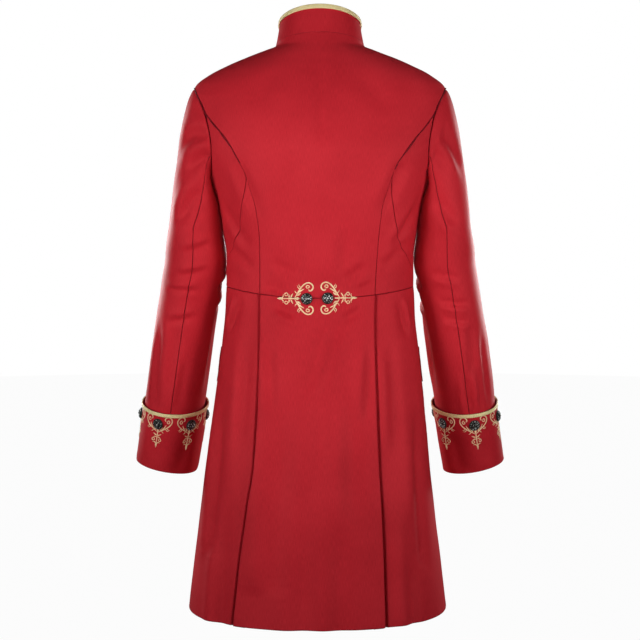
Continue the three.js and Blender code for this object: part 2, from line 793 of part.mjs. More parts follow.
function buttonGeometry() {
  const rim = buttonProfile.map(({ radius, height }) => new THREE.Vector2(radius * button.radius, height));
  const profile = [new THREE.Vector2(0, 0), ...rim, new THREE.Vector2(0, rim[rim.length - 1].y)];
  return new THREE.LatheGeometry(profile, button.sides);
}

// Seats a button on a surface cell with its back just clear of the cloth.
function addButton(name, { point, normal }, seat = button.seat) {
  const mesh = addMesh(name, buttonGeometry(), "gem");
  mesh.quaternion.setFromUnitVectors(new THREE.Vector3(0, 1, 0), normal);
  mesh.position.copy(point).addScaledVector(normal, cloth / 2 + seat);
}

// ---------------------------------------------------------------- the whole coat

addCloth("back_body", seamed(backBody()));
addCloth("skirt_back", seamed(skirtBack()));
for (const side of ["left", "right"]) {
  addCloth(`gore_${side}`, seamed(gore(side)));
  addCloth(`side_body_${side}`, seamed(sideBody(side)));
  addCloth(`front_body_${side}`, seamed(frontBody(side)));
  addCloth(`skirt_side_${side}`, seamed(skirtSide(side)));
  addCloth(`skirt_front_${side}`, seamed(skirtFront(side)));
  addCloth(`pocket_flap_${side}`, pocketFlapGrid(side), "satin", pocketFlap.thickness);
  addCloth(`upper_sleeve_${side}`, sleeve(side, upperTurns));
  addCloth(`under_sleeve_${side}`, sleeve(side, underTurns));
}

const braidLift = cloth / 2 + seamGap + braid.thickness / 2;
const collarBraidLow = 1 - (braid.width - braid.proud) / collar.sideHeight;
const collarBraidHigh = 1 + braid.proud / collar.sideHeight;
const collarStrip = collarGrid([collarBraidLow, collarBraidHigh], braidLift);
addCloth("collar", seamed(collarGrid([...collar.rows, collarBraidLow, 1])));
addCloth("collar_braid", collarStrip, "braid", braid.thickness);

const cuffHeight = cuffRings[0].z - cuffRings[cuffRings.length - 1].z;
const cuffBraidEdge = (braid.width - braid.proud) / cuffHeight;
for (const side of ["left", "right"]) {
  addMesh(`cuff_${side}`, wall(cuffGrid(side, [0, cuffBraidEdge, ...cuffRows]), cloth, true), "satin");
  const strip = cuffGrid(side, [0, cuffBraidEdge], braidLift, braid.proud);
  addMesh(`cuff_braid_${side}`, wall(strip, braid.thickness, true), "braid");
  for (let i = 0; i < cuffButtons.count; i += 1) {
    const turn = cuffButtons.first[side] + (i * 360) / cuffButtons.count;
    const cell = surfaceCell(cuffPoint, turn, cuffButtons.below / cuffHeight);
    addButton(`cuff_button_${side}_${i + 1}`, mirrored([[cell]], side)[0][0]);
  }
}

for (const [side, [x, z]] of Object.entries(waistButtons)) {
  const angle = angleAt(x, z);
  const cell = { point: bodyPoint(angle, z), normal: bodyNormal(angle, z) };
  addButton(`waist_button_${side}`, cell, button.hollowSeat);
}

for (let i = 0; i < frontButtons.count; i += 1) {
  const z = frontButtons.top - i * frontButtons.step;
  const normal = bodyNormal(Math.PI, z);
  const point = bodyPoint(Math.PI, z).addScaledVector(normal, lapLift);
  addButton(`front_button_${i + 1}`, { point, normal }, button.frontSeat);
}

export default jacket;
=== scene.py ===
import json
import math
import bmesh
import bpy
import numpy as np
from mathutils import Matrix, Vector
from mathutils.bvhtree import BVHTree

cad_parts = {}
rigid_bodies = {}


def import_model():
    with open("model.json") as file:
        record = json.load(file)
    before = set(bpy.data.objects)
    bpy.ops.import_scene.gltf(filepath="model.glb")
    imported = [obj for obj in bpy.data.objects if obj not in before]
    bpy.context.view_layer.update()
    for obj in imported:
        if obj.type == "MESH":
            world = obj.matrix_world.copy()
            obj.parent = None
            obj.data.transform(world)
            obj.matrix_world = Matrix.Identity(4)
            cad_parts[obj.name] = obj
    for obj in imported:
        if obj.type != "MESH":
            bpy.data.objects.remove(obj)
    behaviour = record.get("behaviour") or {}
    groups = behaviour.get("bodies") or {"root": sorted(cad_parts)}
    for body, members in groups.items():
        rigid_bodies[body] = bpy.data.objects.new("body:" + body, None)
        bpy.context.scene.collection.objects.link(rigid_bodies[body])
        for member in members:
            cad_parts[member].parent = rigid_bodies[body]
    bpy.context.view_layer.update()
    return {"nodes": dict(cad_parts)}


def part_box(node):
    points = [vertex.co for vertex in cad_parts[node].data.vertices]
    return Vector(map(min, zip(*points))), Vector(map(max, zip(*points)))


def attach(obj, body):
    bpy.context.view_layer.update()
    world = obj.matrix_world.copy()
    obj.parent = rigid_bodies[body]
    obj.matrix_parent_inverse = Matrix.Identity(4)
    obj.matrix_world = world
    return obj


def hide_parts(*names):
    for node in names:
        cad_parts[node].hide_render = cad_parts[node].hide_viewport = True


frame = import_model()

mm = 0.001
degrees = math.pi / 180
mirrorX = {"left": 1, "right": -1}
# steps that a surface's slope is measured over
slope = {"turn": 0.8, "z": 1.5, "hole": 1.5, "down": 0.004, "share": 0.01}


# curves through small tables

def columnsOf(text):
    lines = [line.split() for line in text.strip().splitlines()]
    return {name: np.array([float(line[i]) for line in lines[1:]]) for i, name in enumerate(lines[0])}


def curveWeights(t):
    s = 1 - t
    return (1 + 2 * t) * s * s, t * s * s, t * t * (3 - 2 * t), -t * t * s


def smoothCurve(table, name):  # passes through each row and never swings past it
    z, value = table["z"], table[name]
    if z[0] > z[-1]:
        z, value = z[::-1], value[::-1]
    slope = np.diff(value) / np.diff(z)
    middle = [0 if a * b <= 0 else 2 * a * b / (a + b) for a, b in zip(slope, slope[1:])]
    tangent = np.array([slope[0], *middle, slope[-1]])

    def at(place):
        q = np.clip(place, z[0], z[-1])
        i = np.clip(np.searchsorted(z, q, side="right") - 1, 0, len(z) - 2)
        span = z[i + 1] - z[i]
        start, leave, end, arrive = curveWeights((q - z[i]) / span)
        return start * value[i] + end * value[i + 1] + span * (leave * tangent[i] + arrive * tangent[i + 1])
    return at


def ease(t):
    s = np.clip(t, 0, 1)
    return s * s * (3 - 2 * s)


def mix(a, b, t):
    return a + (b - a) * t


def steps(count, start, end):
    return np.linspace(start, end, count + 1)


# the body surface, in millimetres: angle 0 is the centre back, 90 degrees the left side

bodyTable = columnsOf("""
z halfWidth back front square
18 72 60 10 2.0
0 74 67 10 2.0
-8 93 71 24 2.0
-18 120 76 40 2.0
-28 144 80 55 2.05
-34 157 83 63 2.05
-48 185 89 70 2.1
-69 210 97 79 2.2
-90 216 103 90 2.3
-130 214 112 107 2.3
-180 203 118 123 2.3
-226 184 117 130 2.3
-259 172 114 130 2.3
-310 163 106 124 2.25
-354 157.5 99 117 2.2
-400 157.5 95 112 2.2
-420 158.5 96 112 2.2
-456 160.5 101 114 2.2
-497 164.5 108 118 2.2
-538 169.5 115 122 2.2
-599 176.5 124 128 2.2
-701 188.5 138 138 2.2
-803 200.5 151 149 2.2
-905 213 162 158 2.2
-960 219 168 163 2.2
""")
body = {name: smoothCurve(bodyTable, name) for name in ("halfWidth", "back", "front", "square")}

seamTable = columnsOf("""
z left right
-115 190 190
-127 181 182
-139 171 173
-161 153 154
-188 137 135
-215 124 120
-250 113 109
-276 105 101
-317 99 96
-377 98.5 92
-420 98.5 90
-467 98.5 89
-567 99.5 92
-689 103 99
-760 113 104
-834 124 107
-948 137 110
""")
backSeam = {side: smoothCurve(seamTable, side) for side in ("left", "right")}
goreTable = columnsOf("""
z left right
-222 37.5 36.5
-275 47 43
-314 54.5 49.5
-332 62 55
-352 73 65
-378 84 78
-410 92 89
""")
goreSeam = {side: smoothCurve(goreTable, side) for side in ("left", "right")}
underarmTable = columnsOf("""
z angle
-226 90
-300 103
-410 110
-960 110
""")
underarm = smoothCurve(underarmTable, "angle")

coat = {
    "cloth": 2.0, "neckWidth": 74, "neckRise": 18, "neckDrop": 34, "shoulderFall": 1.35,
    "waistSide": -404, "waistBack": 16, "waistFront": 8, "hem": -948, "goreTip": -214, "goreLeast": 0.5,
    "lap": 14, "lapLift": 1.4, "lapBlend": 30, "skirtGape": 18,
}
armhole = {
    "top": -71, "bottom": -226, "back": 33, "front": 36, "fullness": 0.85, "set": 1.8,
    "backStop": 64, "sleeveBack": 120, "under": 180, "sleeveFront": 245,
}
pleat = {"turnUnder": 18, "tuck": 16, "edge": 1.6, "clear": 5, "rise": 44, "atWaist": 3.6, "atHem": 6}


def bodyPoint(angle, z):
    angle, z = np.broadcast_arrays(np.asarray(angle, float), np.asarray(z, float))
    power = 2 / body["square"](z)
    s, c = np.sin(angle), np.cos(angle)
    depth = np.where(c > 0, body["back"](z), body["front"](z))
    x = np.sign(s) * body["halfWidth"](z) * np.abs(s) ** power
    return np.stack([x, np.sign(c) * depth * np.abs(c) ** power, z], -1)


def unit(v):
    return v / np.maximum(np.linalg.norm(v, axis=-1, keepdims=True), 1e-9)


def around(surface, turn, place, step=slope["turn"]):  # how the surface runs from side to side
    return surface(turn + step, place) - surface(turn - step, place)


def bodyNormal(angle, z):
    up = bodyPoint(angle, z + slope["z"]) - bodyPoint(angle, z - slope["z"])
    return unit(np.cross(up, around(bodyPoint, angle, z, slope["turn"] * degrees)))


def angleAt(x, z):
    share = np.clip(np.abs(x) / body["halfWidth"](z), 0, 1)
    return np.sign(x) * np.arcsin(share ** (body["square"](z) / 2))


def frontAngleAt(x, z):
    return math.pi - angleAt(x, z)


def neckPoint(turn):  # [angle, z] of the neck seam
    x = coat["neckWidth"] * np.sin(turn * degrees)
    c = np.cos(turn * degrees)
    z = np.where(c > 0, coat["neckRise"], coat["neckDrop"]) * c
    return np.stack([np.where(c > 0, angleAt(x, z), frontAngleAt(x, z)), z], -1)


def waistLevel(angle):
    c = np.cos(angle)
    return coat["waistSide"] - np.where(c > 0, coat["waistBack"], coat["waistFront"]) * c * c


def armholePoint(turn):
    t = np.asarray(turn, float) * degrees
    middle = (armhole["top"] + armhole["bottom"]) / 2
    half = (armhole["top"] - armhole["bottom"]) / 2
    s = np.sin(t)
    reach = np.where(s > 0, armhole["back"], armhole["front"])
    across = reach * np.sign(s) * np.abs(s) ** armhole["fullness"]
    return np.stack([(90 - across) * degrees, middle + half * np.cos(t)], -1)


# seams, each a list of [angle, z] on the left side

fine = 5  # steps for one cell of the solids
cells = {
    "lower": 8 * fine, "upper": 6 * fine, "underarm": 7 * fine, "holeBack": 4 * fine, "holeSeam": 3 * fine,
    "holeUnder": 4 * fine, "holeFront": 3 * fine, "holeRise": 6 * fine, "shoulder": 5 * fine,
    "across": 9 * fine,
}


def pairs(angle, z):
    return np.stack(np.broadcast_arrays(angle, z), -1)


def joined(*lines):
    return np.concatenate([lines[0], *[line[1:] for line in lines[1:]]])


def waistOn(place):
    z = float(coat["waistSide"])
    for _ in range(6):
        z = float(waistLevel(place(z)))
    return z


def backSeamPoint(side, z):
    return pairs(angleAt(backSeam[side](z), z), z)


def backSeamLine(side):
    corner = armholePoint(armhole["backStop"])
    bottom = waistOn(lambda z: angleAt(backSeam[side](z), z))
    lower = backSeamPoint(side, steps(cells["lower"], bottom, coat["goreTip"]))
    upper = backSeamPoint(side, steps(cells["upper"], coat["goreTip"], corner[1]))
    upper[-1] = corner
    return joined(lower, upper)


def goreSeamLine(side):
    bottom = waistOn(lambda z: goreSeam[side](z) * degrees)
    back = backSeamLine(side)
    z = steps(cells["lower"], bottom, coat["goreTip"])
    edge = angleAt(backSeam[side](z), z)
    fade = np.minimum(1, (coat["goreTip"] - z) / 20)  # meets the back seam at the tip
    lower = pairs(np.maximum(goreSeam[side](z) * degrees, edge + coat["goreLeast"] * degrees * fade), z)
    lower[-1] = back[cells["lower"]]
    return joined(lower, back[cells["lower"]:])


def underarmLine():
    bottom = waistOn(lambda z: underarm(z) * degrees)
    z = steps(cells["underarm"], bottom, armholePoint(armhole["under"])[1])
    return pairs(underarm(z) * degrees, z)


def waistLine(start, end, count):
    angle = steps(count, start, end)
    return pairs(angle, waistLevel(angle))


def shoulderLine():
    t = steps(cells["shoulder"], 0, 1)
    return pairs(90 * degrees, armhole["top"] * (1 - t) ** coat["shoulderFall"])


def holeLine(start, end, count):
    return armholePoint(steps(count, start, end))


def straight(start, end, count):
    t = steps(count, 0, 1)[:, None]
    return np.asarray(start, float) * (1 - t) + np.asarray(end, float) * t


def along(line, t):
    place = t * (len(line) - 1)
    return np.stack([np.interp(place, np.arange(len(line)), line[:, k]) for k in range(line.shape[1])], -1)


def patchAt(edges, u, v):
    low, high, left, right = edges
    upright = mix(along(low, u), along(high, u), v[..., None])
    across = mix(along(left, v), along(right, v), u[..., None])
    corners = mix(mix(low[0], low[-1], u[..., None]), mix(high[0], high[-1], u[..., None]), v[..., None])
    return upright + across - corners


# grids: stops crowd towards the seams, so that each edge can roll in

weave = {"cell": 4.6, "edgeStops": (0, 0.45, 1.0, 1.8, 3.2), "roll": 1.25, "rollWidth": 1.7,
         "outer": 0.95, "wall": 1.6, "unsewn": 1000, "edgeMost": 30, "merge": 0.00002}


def spread(length, count, crowdStart=True, crowdEnd=True):
    stops = np.array(weave["edgeStops"])
    scale = np.minimum(1, 0.35 * length / stops[-1])
    head = stops * scale / length if crowdStart else np.zeros(1)
    tail = 1 - stops[::-1] * scale / length if crowdEnd else np.ones(1)
    middle = np.linspace(head[-1], tail[0], count + 1)
    return np.concatenate([head[:-1], middle, tail[1:]])


def lengthOf(points):
    return np.linalg.norm(np.diff(points, axis=0), axis=1).sum()


def runAlong(points, axis):  # the length run from the first point
    run = np.linalg.norm(np.diff(points, axis=axis), axis=-1).cumsum(axis)
    return np.concatenate([0 * run.take([0], axis), run], axis)


def seamDistance(distances, sewn):  # from the nearest edge that is sewn
    far = weave["unsewn"]
    return np.min([away + (0 if isSewn else far) for away, isSewn in zip(distances, sewn)], axis=0)


def onSide(grid, side):
    for key in ("points", "normals"):
        grid[key] = grid[key] * (mirrorX[side], 1, 1)
    return grid


def patchGrid(edges, side, columns=None, sewn=(1, 1, 1, 1)):
    low, high, left, right = edges
    rowsLength = (lengthOf(bodyPoint(*left.T)) + lengthOf(bodyPoint(*right.T))) / 2
    v = spread(rowsLength, max(4, round(rowsLength / weave["cell"])))
    ends = bodyPoint(*along(left, v).T), bodyPoint(*along(right, v).T)
    widths = np.maximum(np.linalg.norm(ends[1] - ends[0], axis=1), 0.4)
    if columns is None:
        columns = max(4, round(widths.max() / weave["cell"]))
    u = np.array([spread(w, columns) for w in widths])
    vv = np.repeat(v[:, None], u.shape[1], 1)
    place = patchAt(edges, u, vv)
    fromEdges = [vv * rowsLength, (1 - vv) * rowsLength, u * widths[:, None], (1 - u) * widths[:, None]]
    return onBody(place, side, seamDistance(fromEdges, sewn))


def onBody(place, side, edge, lift=None):
    angle, z = place[..., 0], place[..., 1]
    points, normals = bodyPoint(angle, z), bodyNormal(angle, z)
    if lift is not None:
        points = points + normals * lift[..., None]
    return onSide({"points": points, "normals": normals, "edge": edge}, side)


def besideEachOther(first, second):  # two halves that share their first column
    return {key: np.concatenate([first[key][:, ::-1], second[key][:, 1:]], axis=1) for key in first}


# folds: soft troughs and ridges, given one by one

def foldPath(surface, fold, mirror=1):
    t = np.linspace(0, 1, 28)
    bend = fold["bend"] * np.sin(math.pi * t)
    u = mix(fold["u"], fold["toU"], t) + bend * fold["bendShare"]
    z = mix(fold["z"], fold["toZ"], t) + bend
    points = surface(u, z) * (mirror, 1, 1)
    run = unit(np.gradient(points, axis=0))
    strength = ease(t / max(fold["fadeIn"], 1e-6)) * ease((1 - t) / max(fold["fadeOut"], 1e-6))
    return points, run, strength


def foldLift(grid, paths):
    points, normals = grid["points"].reshape(-1, 3), grid["normals"].reshape(-1, 3)
    total = np.zeros(len(points))
    for (path, run, strength), fold in paths:
        width = fold["width"]
        reach = 3.2 * width
        near = np.all((points > path.min(0) - reach) & (points < path.max(0) + reach), axis=1).nonzero()[0]
        if not len(near):
            continue
        away = points[near, None] - path[None]
        nearest = (away ** 2).sum(-1).argmin(1)
        gap = away[np.arange(len(near)), nearest]
        side = np.sign((gap * np.cross(run[nearest], normals[near])).sum(-1))
        gap = np.linalg.norm(gap - normals[near] * (gap * normals[near]).sum(-1, keepdims=True), axis=1)
        offset = side * gap / width
        ridge = np.exp(-((offset - fold["lean"]) / 1.1) ** 2)
        shape = -np.exp(-offset ** 2) + fold["ridge"] * ridge
        total[near] += fold["depth"] * strength[nearest] * shape
    return total.reshape(grid["edge"].shape)


def foldsOn(surface, table, mirror=1):
    return [(foldPath(surface, fold, mirror), fold) for fold in table]


foldStrength = 2.6
# u is x in millimetres on the coat, and degrees round a sleeve
foldColumns = "u z toU toZ width depth ridge fadeIn fadeOut lean bend bendShare".split()
foldDefaults = {"fadeIn": 0.35, "fadeOut": 0.35, "lean": 1.6, "bend": 0, "bendShare": 0}


def foldRows(text):  # a row for each fold, from (u, z) to (toU, toZ); a short row takes the defaults
    lines = [map(float, line.split()) for line in text.strip().splitlines()]
    rows = [{**foldDefaults, **dict(zip(foldColumns, line))} for line in lines]
    return [{**row, "depth": row["depth"] * foldStrength} for row in rows]


def ripple(points, size, seed):  # a slow uneven wobble, always the same
    wobble = np.zeros(points.shape[:-1])
    dice = np.random.RandomState(seed)
    for _ in range(7):
        way = unit(dice.normal(size=3))
        pace = 2 * math.pi / (size * dice.uniform(0.7, 1.6))
        wobble += np.sin(points @ way * pace + dice.uniform(0, 6.28))
    return wobble / 7


pucker = {"depth": 0.3, "length": 15, "reach": 10}
skirtLean = {"start": -500, "over": 260, "by": 4.2}  # the skirt hangs a little to the left


def finishedPoints(grid, paths=(), seed=1, wobble=0.5):
    edge = grid["edge"]
    roll = np.clip(1 - edge / weave["rollWidth"], 0, 1)
    lift = weave["outer"] - weave["roll"] * (1 - np.sqrt(1 - roll ** 2 * 0.98))
    lift = lift + wobble * ripple(grid["points"], 60, seed) + foldLift(grid, paths)
    gather = np.exp(-(edge / pucker["reach"]) ** 2) * np.clip(edge / 2, 0, 1)
    lift = lift + pucker["depth"] * gather * ripple(grid["points"], pucker["length"], seed + 9) * 3
    points = grid["points"] + grid["normals"] * lift[..., None]
    if grid.get("leans"):
        points[..., 0] += skirtLean["by"] * ease((skirtLean["start"] - points[..., 2]) / skirtLean["over"])
    return points


# meshes

def linked(name, mesh):
    piece = bpy.data.objects.new(name, mesh)
    bpy.context.scene.collection.objects.link(piece)
    return piece


def meshFrom(bm, name, *materials):
    mesh = bpy.data.meshes.new(name)
    bm.to_mesh(mesh)
    bm.free()
    for look in materials:
        mesh.materials.append(look)
    return mesh


def placed(piece, slot, *nodes):
    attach(piece, "root")
    if nodes:
        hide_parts(*nodes)
    return piece


def sheetMesh(name, points, grid, closedRound=False):
    edge = grid["edge"]
    faceWay = np.cross(points[:-1, 1:] - points[:-1, :-1], points[1:, :-1] - points[:-1, :-1])
    if (faceWay * grid["normals"][:-1, :-1]).sum() < 0:  # faces point outwards
        points, edge = points[:, ::-1], edge[:, ::-1]
    rows, columns = points.shape[:2]
    bm = bmesh.new()
    bmesh.ops.create_grid(bm, x_segments=columns - 1, y_segments=rows - 1, size=1, calc_uvs=True)
    uv = bm.loops.layers.uv.verify()
    run, fall = runAlong(points, 1), runAlong(points[:, columns // 2], 0)
    run -= run[:, columns // 2, None]
    seamLayer = bm.verts.layers.float.new("seam")
    flat, flatEdge = points.reshape(-1, 3) * mm, edge.reshape(-1)
    bm.verts.ensure_lookup_table()
    for i, vert in enumerate(bm.verts):
        vert.co = flat[i]
        vert[seamLayer] = float(min(flatEdge[i], weave["edgeMost"]))
    for face in bm.faces:
        face.smooth = True
        for loop in face.loops:
            r, c = divmod(loop.vert.index, columns)
            loop[uv].uv = (run[r, c] * mm, fall[r] * mm)
    if closedRound:
        bmesh.ops.remove_doubles(bm, verts=bm.verts, dist=weave["merge"])
    return meshFrom(bm, name)


cloth = []


def declared(parts=()):
    list(parts)


def clothPiece(name, node, grid, closedRound=False, **finish):
    points = finishedPoints(grid, **finish)
    mesh = sheetMesh(name, points, grid, closedRound)
    piece = linked(name, mesh)
    for slotLook in (looks["satin"], looks["lining"]):
        mesh.materials.append(slotLook)
    wall = piece.modifiers.new("wall", "SOLIDIFY")
    wall.thickness = weave["wall"] * mm
    wall.offset = -1
    wall.material_offset = 1
    wall.material_offset_rim = 0
    wall.use_quality_normals = True
    placed(piece, "satin", node)
    area = sum(face.area for face in mesh.polygons)
    print(f"{name}: {len(mesh.polygons)} faces, {area:.4f} square metres")
    cloth.append(piece)
    return piece


# looks

def nodeTree(name):
    look = bpy.data.materials.new(name)
    look.use_nodes = True
    look.node_tree.nodes.clear()
    return look, look.node_tree


def add(tree, kind, inputs=None, **settings):
    node = tree.nodes.new("ShaderNode" + kind)
    for key, value in settings.items():
        setattr(node, key, value)
    for key, value in (inputs or {}).items():
        if isinstance(value, bpy.types.NodeSocket):
            tree.links.new(value, node.inputs[key])
        else:
            node.inputs[key].default_value = value
    return node


def ramp(tree, fac, stops):
    node = add(tree, "ValToRGB", {"Fac": fac})
    points = node.color_ramp.elements
    while len(points) < len(stops):
        points.new(0.5)
    for point, (place, colour) in zip(points, stops):
        point.position = place
        point.color = (*colour, 1)
    return node.outputs["Color"]


def noise(tree, vector, scale, detail=2.0):
    return add(tree, "TexNoise", {"Vector": vector, "Scale": scale, "Detail": detail}).outputs["Fac"]


def worked(tree, operation, a, b):
    return add(tree, "Math", {0: a, 1: b}, operation=operation).outputs[0]


def shaded(look, tree, height, strength, distance, sockets):
    bump = add(tree, "Bump", {"Height": height, "Strength": strength, "Distance": distance})
    return coated(look, tree, {"Normal": bump.outputs[0], **sockets})


def coated(look, tree, sockets):
    shader = add(tree, "BsdfPrincipled", sockets)
    add(tree, "OutputMaterial", {"Surface": shader.outputs[0]})
    return look


def colour(hexText):
    parts = [int(hexText[i:i + 2], 16) / 255 for i in (0, 2, 4)]
    return tuple(c / 12.92 if c <= 0.04045 else ((c + 0.055) / 1.055) ** 2.4 for c in parts)


# the seam tone is painted shade: the satin and the lining turn to it within about a millimetre of each sewn
# edge
satinLook = {
    "deep": "AC1E28", "middle": "BC242E", "light": "C82B35", "seam": "6E0D15", "glow": (1.0, 0.22, 0.22, 1),
    "roughness": 0.58, "specular": 0.25, "sheen": 0.02, "threads": 2600, "bump": 0.10,
}


def satin(name, tones):
    look, tree = nodeTree(name)
    uvMap = add(tree, "UVMap", uv_map="").outputs[0]
    place = add(tree, "TexCoord").outputs["Object"]
    cloud = noise(tree, place, 7.0, 3.0)
    slub = add(tree, "Mapping", {"Vector": uvMap, "Scale": (1300, 90, 1)})
    slubs = noise(tree, slub.outputs[0], 1.0)
    half = worked(tree, "MULTIPLY", worked(tree, "ADD", cloud, slubs), 0.5)
    stops = [(0.34, colour(tones["deep"])), (0.5, colour(tones["middle"])), (0.66, colour(tones["light"]))]
    base = ramp(tree, half, stops)
    seam = add(tree, "Attribute", attribute_name="seam").outputs["Fac"]  # millimetres from the edge
    # painted shade: the colour turns to the seam tone where the cloth lies within about a millimetre of a
    # sewn edge
    fading = {"From Min": 0.1, "From Max": 1.1, "To Min": 1, "To Max": 0}
    near = add(tree, "MapRange", {"Value": seam, **fading})
    withSeamShade = add(tree, "Mix", {"Factor": near.outputs[0]}, data_type="RGBA")
    tree.links.new(base, withSeamShade.inputs["A"])
    withSeamShade.inputs["B"].default_value = (*colour(tones["seam"]), 1)
    twill = add(tree, "Mapping", {"Vector": uvMap, "Rotation": (0, 0, 0.42)})
    threads = {"Vector": twill.outputs[0], "Scale": tones["threads"] / 6.28, "Distortion": 1.2, "Detail": 1.0}
    wave = add(tree, "TexWave", threads).outputs["Fac"]
    return shaded(look, tree, worked(tree, "ADD", wave, slubs), tones["bump"], 0.0001, {
        "Base Color": withSeamShade.outputs["Result"], "Roughness": tones["roughness"], "Anisotropic": 0.3,
        "Specular IOR Level": tones["specular"], "Specular Tint": tones["glow"],
        "Sheen Weight": tones["sheen"], "Sheen Roughness": 0.45, "Sheen Tint": tones["glow"],
    })


def metalThread(name, tone, dark, twist, lean, metallic):  # twist is the length of one turn of the thread
    look, tree = nodeTree(name)
    uvMap = add(tree, "UVMap", uv_map="").outputs[0]
    place = add(tree, "Mapping", {"Vector": uvMap, "Rotation": (0, 0, lean)})
    wraps = {"Vector": place.outputs[0], "Scale": 1 / (3.14 * twist), "Distortion": 0.7, "Detail": 1.0}
    wave = add(tree, "TexWave", wraps).outputs["Fac"]
    spot = add(tree, "TexCoord").outputs["Object"]
    mixed = worked(tree, "MULTIPLY", wave, noise(tree, spot, 260.0))
    tones = ramp(tree, mixed, [(0.04, colour(dark)), (0.26, colour(tone)), (0.9, colour(tone))])
    sockets = {"Base Color": tones, "Metallic": metallic, "Roughness": 0.4}
    return shaded(look, tree, wave, 0.55, 0.00025, sockets)


def plainLook(name, tone, **sockets):
    look, tree = nodeTree(name)
    return coated(look, tree, {"Base Color": (*colour(tone), 1), **sockets})


def mottleAndPaintedGlints(name, low, high, scale, split=(0.36, 0.64), **sockets):
    look, tree = nodeTree(name)
    place = add(tree, "TexCoord").outputs["Object"]
    spots = noise(tree, place, scale)
    tones = ramp(tree, spots, [(split[0], colour(low)), (split[1], colour(high))])
    return shaded(look, tree, spots, 0.2, 0.0002, {"Base Color": tones, **sockets})


liningLook = {
    **satinLook, "deep": "5E1018", "middle": "6C131C", "light": "7A1822", "roughness": 0.5, "bump": 0.05,
}
looks = {
    "satin": satin("redSatin", satinLook),
    "lining": satin("redLining", liningLook),
    "braid": metalThread("goldBraid", "FDF0B8", "D0B068", 0.0016, 0.0, 0.08),
    "stitch": metalThread("goldStitch", "FFEBC0", "DDB57E", 0.0011, 0.7, 0.05),
    "setting": mottleAndPaintedGlints("darkSetting", "030504", "1E2624", 420, Metallic=0.3, Roughness=0.5),
    # on the stones the pale E6EDE8 spots are painted glints; on the setting the spots are its own uneven tone
    "stone": mottleAndPaintedGlints("darkStone", "020504", "E6EDE8", 430, (0.53, 0.6), Roughness=0.12, IOR=1.75),
}

print("cloth looks ready")


# bodice

def backHalf(side):
    right = joined(backSeamLine(side), holeLine(armhole["backStop"], 0, cells["holeBack"]), shoulderLine())
    left = straight([0, waistLevel(0)], [0, coat["neckRise"]], len(right) - 1)
    high = neckPoint(steps(cells["across"], 0, 90))
    low = waistLine(0, right[0, 0], cells["across"])
    return patchGrid((low, high, left, right), side, columns=44, sewn=(1, 1, 0, 1))


def gorePatch(side):
    left = backSeamLine(side)[:cells["lower"] + 1]
    right = goreSeamLine(side)[:cells["lower"] + 1]
    low = waistLine(left[0, 0], right[0, 0], cells["across"])
    high = straight(left[-1], right[-1], cells["across"])
    return patchGrid((low, high, left, right), side)


def sidePatch(side):
    left = goreSeamLine(side)
    right = joined(underarmLine(), holeLine(armhole["under"], armhole["sleeveBack"], cells["holeUnder"]),
                   holeLine(armhole["sleeveBack"], armhole["backStop"], cells["holeSeam"]))
    low = waistLine(left[0, 0], right[0, 0], cells["across"])
    high = straight(left[-1], right[-1], cells["across"])
    return patchGrid((low, high, left, right), side)


def lapOffset(side, x):
    share = ease((coat["lapBlend"] + coat["lap"] - x) / coat["lapBlend"])
    return mirrorX[side] * coat["lapLift"] * share


def neckTurnAt(x):
    return 180 - math.asin(x / coat["neckWidth"]) / degrees


def frontLine(x, count):
    z = steps(count, waistOn(lambda z: frontAngleAt(x, z)), neckPoint(neckTurnAt(x))[1])
    return pairs(frontAngleAt(x, z), z)


def frontPatch(side):
    left = joined(underarmLine(), holeLine(armhole["under"], armhole["sleeveFront"], cells["holeFront"]),
                  holeLine(armhole["sleeveFront"], 360, cells["holeRise"]), shoulderLine())
    right = frontLine(-coat["lap"], len(left) - 1)
    high = neckPoint(np.concatenate([steps(cells["across"], 90, 180)[:-1], [neckTurnAt(-coat["lap"])]]))
    low = waistLine(left[0, 0], right[0, 0], cells["across"])
    grid = patchGrid((low, high, left, right), "left", sewn=(1, 1, 1, 0))
    lift = lapOffset(side, grid["points"][..., 0])
    grid["points"] = grid["points"] + grid["normals"] * lift[..., None]
    return onSide(grid, side)


def backAt(x, z):
    return bodyPoint(angleAt(x, z), z)


def frontAt(x, z):
    return bodyPoint(frontAngleAt(x, z), z)


backFolds = foldsOn(backAt, foldRows("""
-3 -20 -2 -190 15 1.7 0.35
58 -40 120 -110 20 1.2 0.4
-62 -44 -118 -120 19 1.1 0.4
138 -190 92 -300 12 1.5 0.5 0.35 0.35 1.6 6 0.6
-140 -185 -96 -290 13 1.7 0.5 0.35 0.35 1.6 6 -0.6
165 -260 112 -345 9 1.6 0.5
-166 -255 -116 -350 9 1.8 0.5
158 -330 104 -378 8 1.4 0.5
-156 -320 -100 -372 8 1.3 0.5
40 -300 34 -404 13 1.2 0.8 0.35 0.35 -1.5
-44 -290 -36 -400 14 1.3 0.8 0.35 0.35 1.5
84 -356 30 -392 8 1.1 0.5
-80 -362 -34 -396 8 1.1 0.5
66 -150 22 -250 22 1 0.6
-58 -160 -24 -260 22 1 0.6
96 -398 52 -412 5 1 0.7
-90 -394 -56 -408 5 0.9 0.7
"""))
frontFolds = foldsOn(frontAt, foldRows("""
150 -170 104 -250 14 1.6 0.5 0.35 0.35 1.6 6 0.5
-148 -175 -100 -262 13 1.5 0.5 0.35 0.35 1.6 6 -0.5
170 -262 96 -330 10 1.6 0.5
-168 -258 -92 -322 10 1.7 0.5
150 -330 70 -376 8 1.3 0.5
-152 -336 -66 -380 8 1.3 0.5
70 -60 112 -140 18 1.2 0.4
-68 -64 -114 -136 18 1.2 0.4
52 -270 46 -402 15 1.2 0.7
-56 -280 -44 -400 15 1.2 0.7
24 -340 60 -362 6 0.9 0.5
-20 -300 -66 -318 6 0.8 0.5
"""))

